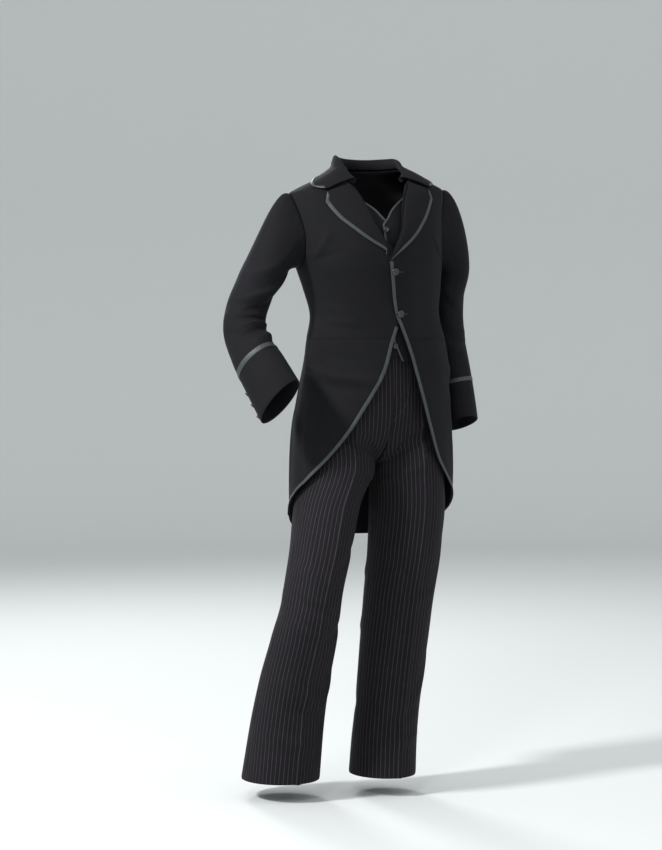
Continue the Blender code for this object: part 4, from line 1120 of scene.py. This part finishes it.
def edgeBraid(side, word):
    # Along a front's cut-away edge
    top = 1.237 if side > 0 else 1.088
    heights = spans((0.657, 0.745, 70), (0.745, top, 110))
    edgeTable = leftEdge if side > 0 else rightEdge
    line = pairs(smooth(edgeTable, "angle", heights), heights)
    outerPoints, n = onCoat(line, side)
    innerPoints, _ = onCoat(insetLine(line, braidCut["width"]), side)
    return braidShell(f"edgeBraid_{word}", outerPoints, innerPoints, n,
                      [f"edge_braid_{word}"])


def lapelBraid(side, word):
    # Along the lapel's outer edge
    row = across(0.16, 60)
    edge = lapelAt(side, row, np.full_like(row, 0.997))
    widths = np.maximum(lapelWidths(side, row), 0.012)
    inner = lapelAt(side, row, 1 - np.minimum(0.30, braidCut["width"] / widths))
    n = unit(np.cross(np.gradient(edge, axis=0), inner - edge)) * side
    return braidShell(f"lapelBraid_{word}", edge, inner, n, [f"lapel_braid_{word}"])


def lapelWidths(side, row):
    # |outer - inner| at each row
    inner, outer = lapelAt(side, row, np.zeros_like(row)), lapelAt(side, row, np.ones_like(row))
    return np.linalg.norm(inner - outer, axis=-1)


def notchBraid(side, word):
    # Along the lapel's short top edge, from the notch to its point
    share = np.linspace(0.805, 0.99, 14)
    top, low = np.full_like(share, 0.997), np.full_like(share, 0.955)
    edge, inner = lapelAt(side, top, share), lapelAt(side, low, share)
    n = unit(np.cross(np.gradient(edge, axis=0), inner - edge)) * -side
    return braidShell(f"notchBraid_{word}", edge, inner, n)


def collarBraid():
    # Along the leaf's lower edge
    station = (across(0.52, 150) - 0.5) * 11.98
    edge = collarSurface(station, np.full_like(station, 5.97))
    # A row's length in metres changes round the collar, so the braid's width is divided by it
    reach = np.linalg.norm(collarSurface(station, np.full_like(station, 5.6)) - edge, axis=-1) / 0.37
    inner = collarSurface(station, 5.97 - braidCut["width"] / np.maximum(reach, 0.012))
    n = -unit(np.cross(np.gradient(edge, axis=0), inner - edge))
    return braidShell("collarBraid", edge + n * halfCloth, inner + n * halfCloth, n)


def collarEndBraid(side, word):
    # Along the collar's front end, from the notch out to its corner
    row = np.linspace(5.05, 5.95, 18)
    station = np.full_like(row, 5.985 * side)
    edge = collarSurface(station, row)
    # The collar's cloth moves unevenly with the station here, so the width is measured along the cloth
    steps = np.linspace(0, 1.2, 60)
    rows, stations = np.meshgrid(row, (5.985 - steps) * side, indexing="ij")
    run = runLengths(collarSurface(stations, rows), 1)
    back = np.array([np.interp(braidCut["width"], far, steps) for far in run])
    inner = collarSurface(station - side * back, row)
    n = unit(np.cross(np.gradient(edge, axis=0), inner - edge)) * side
    return braidShell(f"collarEndBraid_{word}", edge + n * halfCloth, inner + n * halfCloth, n)


def cuffBraid(arm, name, first, last, nodes=()):
    # Round the sleeve between two turns, at the cuff's stations
    turns = np.linspace(first + 0.4, last - 0.4, 70)
    upper = sleevePoints(arm, turns, np.full_like(turns, braidCut["cuffTop"]))
    lower = sleevePoints(arm, turns, np.full_like(turns, braidCut["cuffFoot"]))
    centre = armLine(arm, np.full_like(turns, braidCut["cuffMiddle"]))[0]
    along = unit(upper - lower)
    n = unit(upper - centre)
    n = unit(n - along * (n * along).sum(-1, keepdims=True))
    return braidShell(name, upper, lower, n, nodes)


def waistcoatBraid(side, word):
    # The waistcoat's edge is bound more narrowly, round the neck and down the left front
    heights = spans((1.330, 1.440, 60)) if side < 0 else spans((1.010, 1.318, 90), (1.318, 1.440, 60))
    line = pairs(smooth(waistcoatEdge, "angle", heights), heights)

    def on(grid):
        # Points on the waistcoat's own form, and its normals
        angle = grid[:, 0] * side
        lift = waistcoatLift(grid[:, 0], grid[:, 1]) if side > 0 else 0.0
        n = formNormals(waistcoat, angle, grid[:, 1])
        return waistcoat(angle, grid[:, 1]) + n * (lift + 0 * angle)[:, None], n

    edge, n = on(line)
    inner, _ = on(insetLine(line, braidCut["narrow"]))
    return braidShell(f"waistcoatBraid_{word}", edge, inner, n)


for side, word, arm in ((1, "left", leftArm), (-1, "right", rightArm)):
    edgeBraid(side, word)
    lapelBraid(side, word)
    notchBraid(side, word)
    collarEndBraid(side, word)
    cuffBraid(arm, f"cuffBraid_{word}", -100, 100, [f"cuff_braid_{word}"])
    cuffBraid(arm, f"cuffBraidUnder_{word}", 100, 260)
    waistcoatBraid(side, word)
collarBraid()
print("braid laid")

# Buttons and sewing

buttonCut = {"segments": 40}


def button(name, node, radius, high):
    # A turned disc: a rounded rim round a shallow dish, and a flat back, swept round its axis
    low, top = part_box(node)
    centre = (np.array(low) + np.array(top)) / 2
    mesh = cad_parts[node].data
    vertices = np.zeros(len(mesh.vertices) * 3)
    mesh.vertices.foreach_get("co", vertices)
    vertices = vertices.reshape(-1, 3) - centre
    axis = np.linalg.svd(vertices, full_matrices=False)[2][-1]     # the disc's thinnest way
    spine = armSpine(node)
    outward = centre - spine
    axis = axis * (1 if axis @ outward > 0 else -1)
    share = np.array([0.0, 0.30, 0.58, 0.72, 0.80, 0.88, 0.95, 1.0, 0.98, 0.90, 0.0])
    lift = np.array([0.45, 0.46, 0.55, 0.80, 0.97, 1.0, 0.90, 0.62, 0.28, 0.0, 0.0]) - 0.5
    side = unit(np.cross(axis, [0.31, 0.22, 0.93]))
    other = np.cross(axis, side)
    a = np.linspace(0, 2 * np.pi, buttonCut["segments"], endpoint=False)
    circle = np.cos(a)[:, None] * side + np.sin(a)[:, None] * other
    rings = centre + share[1:-1, None, None] * radius * circle + (lift[1:-1, None, None] * high) * axis
    crown, foot = centre + axis * lift[0] * high, centre + axis * lift[-1] * high
    points = np.concatenate([[crown], rings.reshape(-1, 3), [foot]])
    count, n = len(share) - 2, buttonCut["segments"]
    index = 1 + np.arange(count * n).reshape(count, n)
    here, there = index, np.roll(index, -1, axis=1)
    quads = np.stack([here[:-1], here[1:], there[1:], there[:-1]], -1).reshape(-1, 4).tolist()
    cap = [(0, int(p), int(q)) for p, q in zip(here[0], there[0])]
    base = [(len(points) - 1, int(q), int(p)) for p, q in zip(here[-1], there[-1])]
    piece = putMesh(name, points, quads + cap + base, None, horn)
    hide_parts(node)
    return piece


def armSpine(node):
    # What a button faces away from: the line of its arm, or the middle of the body at its height
    low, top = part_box(node)
    middle = (np.array(low) + np.array(top)) / 2
    if node.startswith("cuff"):
        arm = leftArm if "left" in node else rightArm
        stations = np.linspace(4, 6, 41)
        line = armLine(arm, stations)[0]
        return line[np.argmin(np.linalg.norm(line - middle, axis=-1))]
    return np.array([0.01, 0.0, middle[2]])


for number in (1, 2):
    button(f"coatButton_{number}", f"coat_button_{number}", 0.0084, 0.0034)
for number in range(1, 7):
    button(f"waistcoatButton_{number}", f"waistcoat_button_{number}", 0.0064, 0.0032)
for word in ("left", "right"):
    button(f"hipButton_{word}", f"hip_button_{word}", 0.0094, 0.0034)
    for number in (1, 2, 3):
        button(f"cuffButton_{word}_{number}", f"cuff_button_{word}_{number}", 0.0064, 0.0030)


def threadTube(name, line, radius, closed):
    # Thread laid on the cloth: six points round each point of its line
    run = np.gradient(line, axis=0)
    if closed:
        run = np.roll(line, -1, axis=0) - np.roll(line, 1, axis=0)
    run = unit(run)
    side = unit(np.cross(run, [0.12, 0.97, 0.2]))
    other = np.cross(run, side)
    a = np.arange(6) * np.pi / 3
    circle = np.cos(a)[None, :, None] * side[:, None] + np.sin(a)[None, :, None] * other[:, None]
    points = line[:, None] + radius * circle
    rows = len(line)
    index = np.arange(rows * 6).reshape(rows, 6)
    nextRow = np.roll(index, -1, axis=0) if closed else index[1:]
    here = index if closed else index[:-1]
    corners = [here, np.roll(here, -1, 1), np.roll(nextRow, -1, 1), nextRow]
    quads = np.stack(corners, -1).reshape(-1, 4).tolist()
    if not closed:
        quads += [index[0, ::-1].tolist(), index[-1].tolist()]
    piece = putMesh(name, points.reshape(-1, 3), quads, np.zeros((rows * 6, 2)), sewingThread)
    return piece


def buttonhole(name, centreAngle, centreHeight, length, onSurface):
    # A worked hole: a long oval of buttonhole stitch
    a = np.linspace(0, 2 * np.pi, 48, endpoint=False)
    angle = centreAngle + np.cos(a) * length / 2 / metresPerDegree
    height = centreHeight + np.sin(a) * 0.0013
    return threadTube(name, onSurface(angle, height), 0.00065, True)


def onLeftFront(angle, height):
    # The left front's folded face, 0.3 mm out
    n = formNormals(coat, angle, height)
    return coat(angle, height) + n * (coatRelief(angle, height) + lapLift(angle, height) + 0.0003)[:, None]


buttonhole("buttonhole_1", 2.6, 1.214, 0.019, onLeftFront)
buttonhole("buttonhole_2", 5.4, 1.1186, 0.019, onLeftFront)


def flyStitching():
    # One line of stitching down the left of the fly, turning in to the centre seam at its foot
    t = np.linspace(0, 1, 70)
    height = 1.040 - 0.165 * t
    share = 1 - 0.155 * (1 - t ** 6)
    points = trouserSurface(leftLeg, share, height, -1)
    step = trouserSurface(leftLeg, share - 0.01, height, -1) - points
    up = trouserSurface(leftLeg, share, height + 0.002, -1) - points
    n = unit(np.cross(step, up))
    n = n * np.where(n[:, 1:2] > 0, -1, 1)
    return threadTube("flyStitching", points + n * 0.0003, 0.0004, False)


flyStitching()
print("buttons and sewing made")

# Floor, light and camera

stageSetup = {"floor": "#d2d5d4", "floorFlat": 7.0, "floorCurve": 2.0, "distance": 5.0,
              "cameraHeight": 1.0, "azimuth": -26.0, "pixelsPerMetre": 430.0, "sensor": 36,
              "imageWidth": 662, "imageHeight": 850, "axisPixel": 365.0, "horizonPixel": 366.0}

floorMaterial = startMaterial("paintedStudioFloor", {
    "Base Color": colour(stageSetup["floor"]), "Roughness": 0.9, "Specular IOR Level": 0.2,
})[0]
# A round floor that curves up into a low wall all the way round, so that it looks the same from every side
flat, curve = stageSetup["floorFlat"], stageSetup["floorCurve"]
rows, spokes = 70, 96
run = np.linspace(0.25, 12.0, rows)
bend = np.clip((run - flat) / curve, 0, np.pi / 2)
radius = np.minimum(run, flat) + curve * np.sin(bend)
rise = curve * (1 - np.cos(bend)) + np.maximum(run - flat - curve * np.pi / 2, 0)
a = np.linspace(0, 2 * np.pi, spokes, endpoint=False)
rings = np.stack(
    [radius[:, None] * np.cos(a), radius[:, None] * np.sin(a), rise[:, None] - heldHeight + 0 * a], -1
)
floorPoints = np.concatenate([rings.reshape(-1, 3), [[0, 0, -heldHeight]]])
index = np.arange(rows * spokes).reshape(rows, spokes)
there = np.roll(index, -1, axis=1)
floorFaces = np.stack([index[:-1], index[1:], there[1:], there[:-1]], -1).reshape(-1, 4).tolist()
floorFaces += [(rows * spokes, int(p), int(q)) for p, q in zip(index[0], there[0])]
floorMesh = bpy.data.meshes.new("studioFloor")
floorMesh.from_pydata(floorPoints.tolist(), [], floorFaces)
floorMesh.shade_smooth()
floorMesh.materials.append(floorMaterial)
floor = bpy.data.objects.new("studioFloor", floorMesh)
bpy.context.scene.collection.objects.link(floor)


def areaLight(name, azimuth, height, distance, size, power, aim=(0, 0, -0.45)):
    # A round lamp at an azimuth, height and distance, aimed at the suit's middle
    a = math.radians(azimuth)
    light = bpy.data.lights.new(name, "AREA")
    light.shape, light.size, light.energy = "DISK", size, power
    lamp = bpy.data.objects.new(name, light)
    lamp.location = Vector((math.sin(a) * distance, -math.cos(a) * distance, height - heldHeight))
    lamp.rotation_euler = (lamp.location - Vector(aim)).to_track_quat("Z", "Y").to_euler()
    bpy.context.scene.collection.objects.link(lamp)


areaLight("keyLight", -80, 3.5, 3.6, 0.6, 210)
areaLight("frontLight", -40, 3.9, 4.6, 1.0, 50)
areaLight("fillLight", 50, 1.8, 3.6, 2.2, 18)
areaLight("backLight", 175, 3.4, 4.0, 1.2, 90)

world = bpy.data.worlds.new("studioWorld")
world.use_nodes = True
world.node_tree.nodes["Background"].inputs["Color"].default_value = colour("#cfd1d4")
world.node_tree.nodes["Background"].inputs["Strength"].default_value = 1.05
bpy.context.scene.world = world
bpy.context.scene.view_settings.view_transform = "Standard"

camera = bpy.data.objects.new("camera", bpy.data.cameras.new("camera"))
bpy.context.scene.collection.objects.link(camera)
azimuth = math.radians(stageSetup["azimuth"])
awayFrom = Vector((math.sin(azimuth), -math.cos(azimuth), 0))
above = Vector((0, 0, stageSetup["cameraHeight"] - heldHeight))
camera.location = awayFrom * stageSetup["distance"] + above
camera.rotation_euler = awayFrom.to_track_quat("Z", "Y").to_euler()
tall = stageSetup["imageHeight"]
camera.data.lens = stageSetup["sensor"] * stageSetup["distance"] * stageSetup["pixelsPerMetre"] / tall
camera.data.shift_x = (stageSetup["imageWidth"] / 2 - stageSetup["axisPixel"]) / tall
camera.data.shift_y = (stageSetup["horizonPixel"] - tall / 2) / tall
camera.data.clip_end = 60
bpy.context.scene.camera = camera
print("stage set")
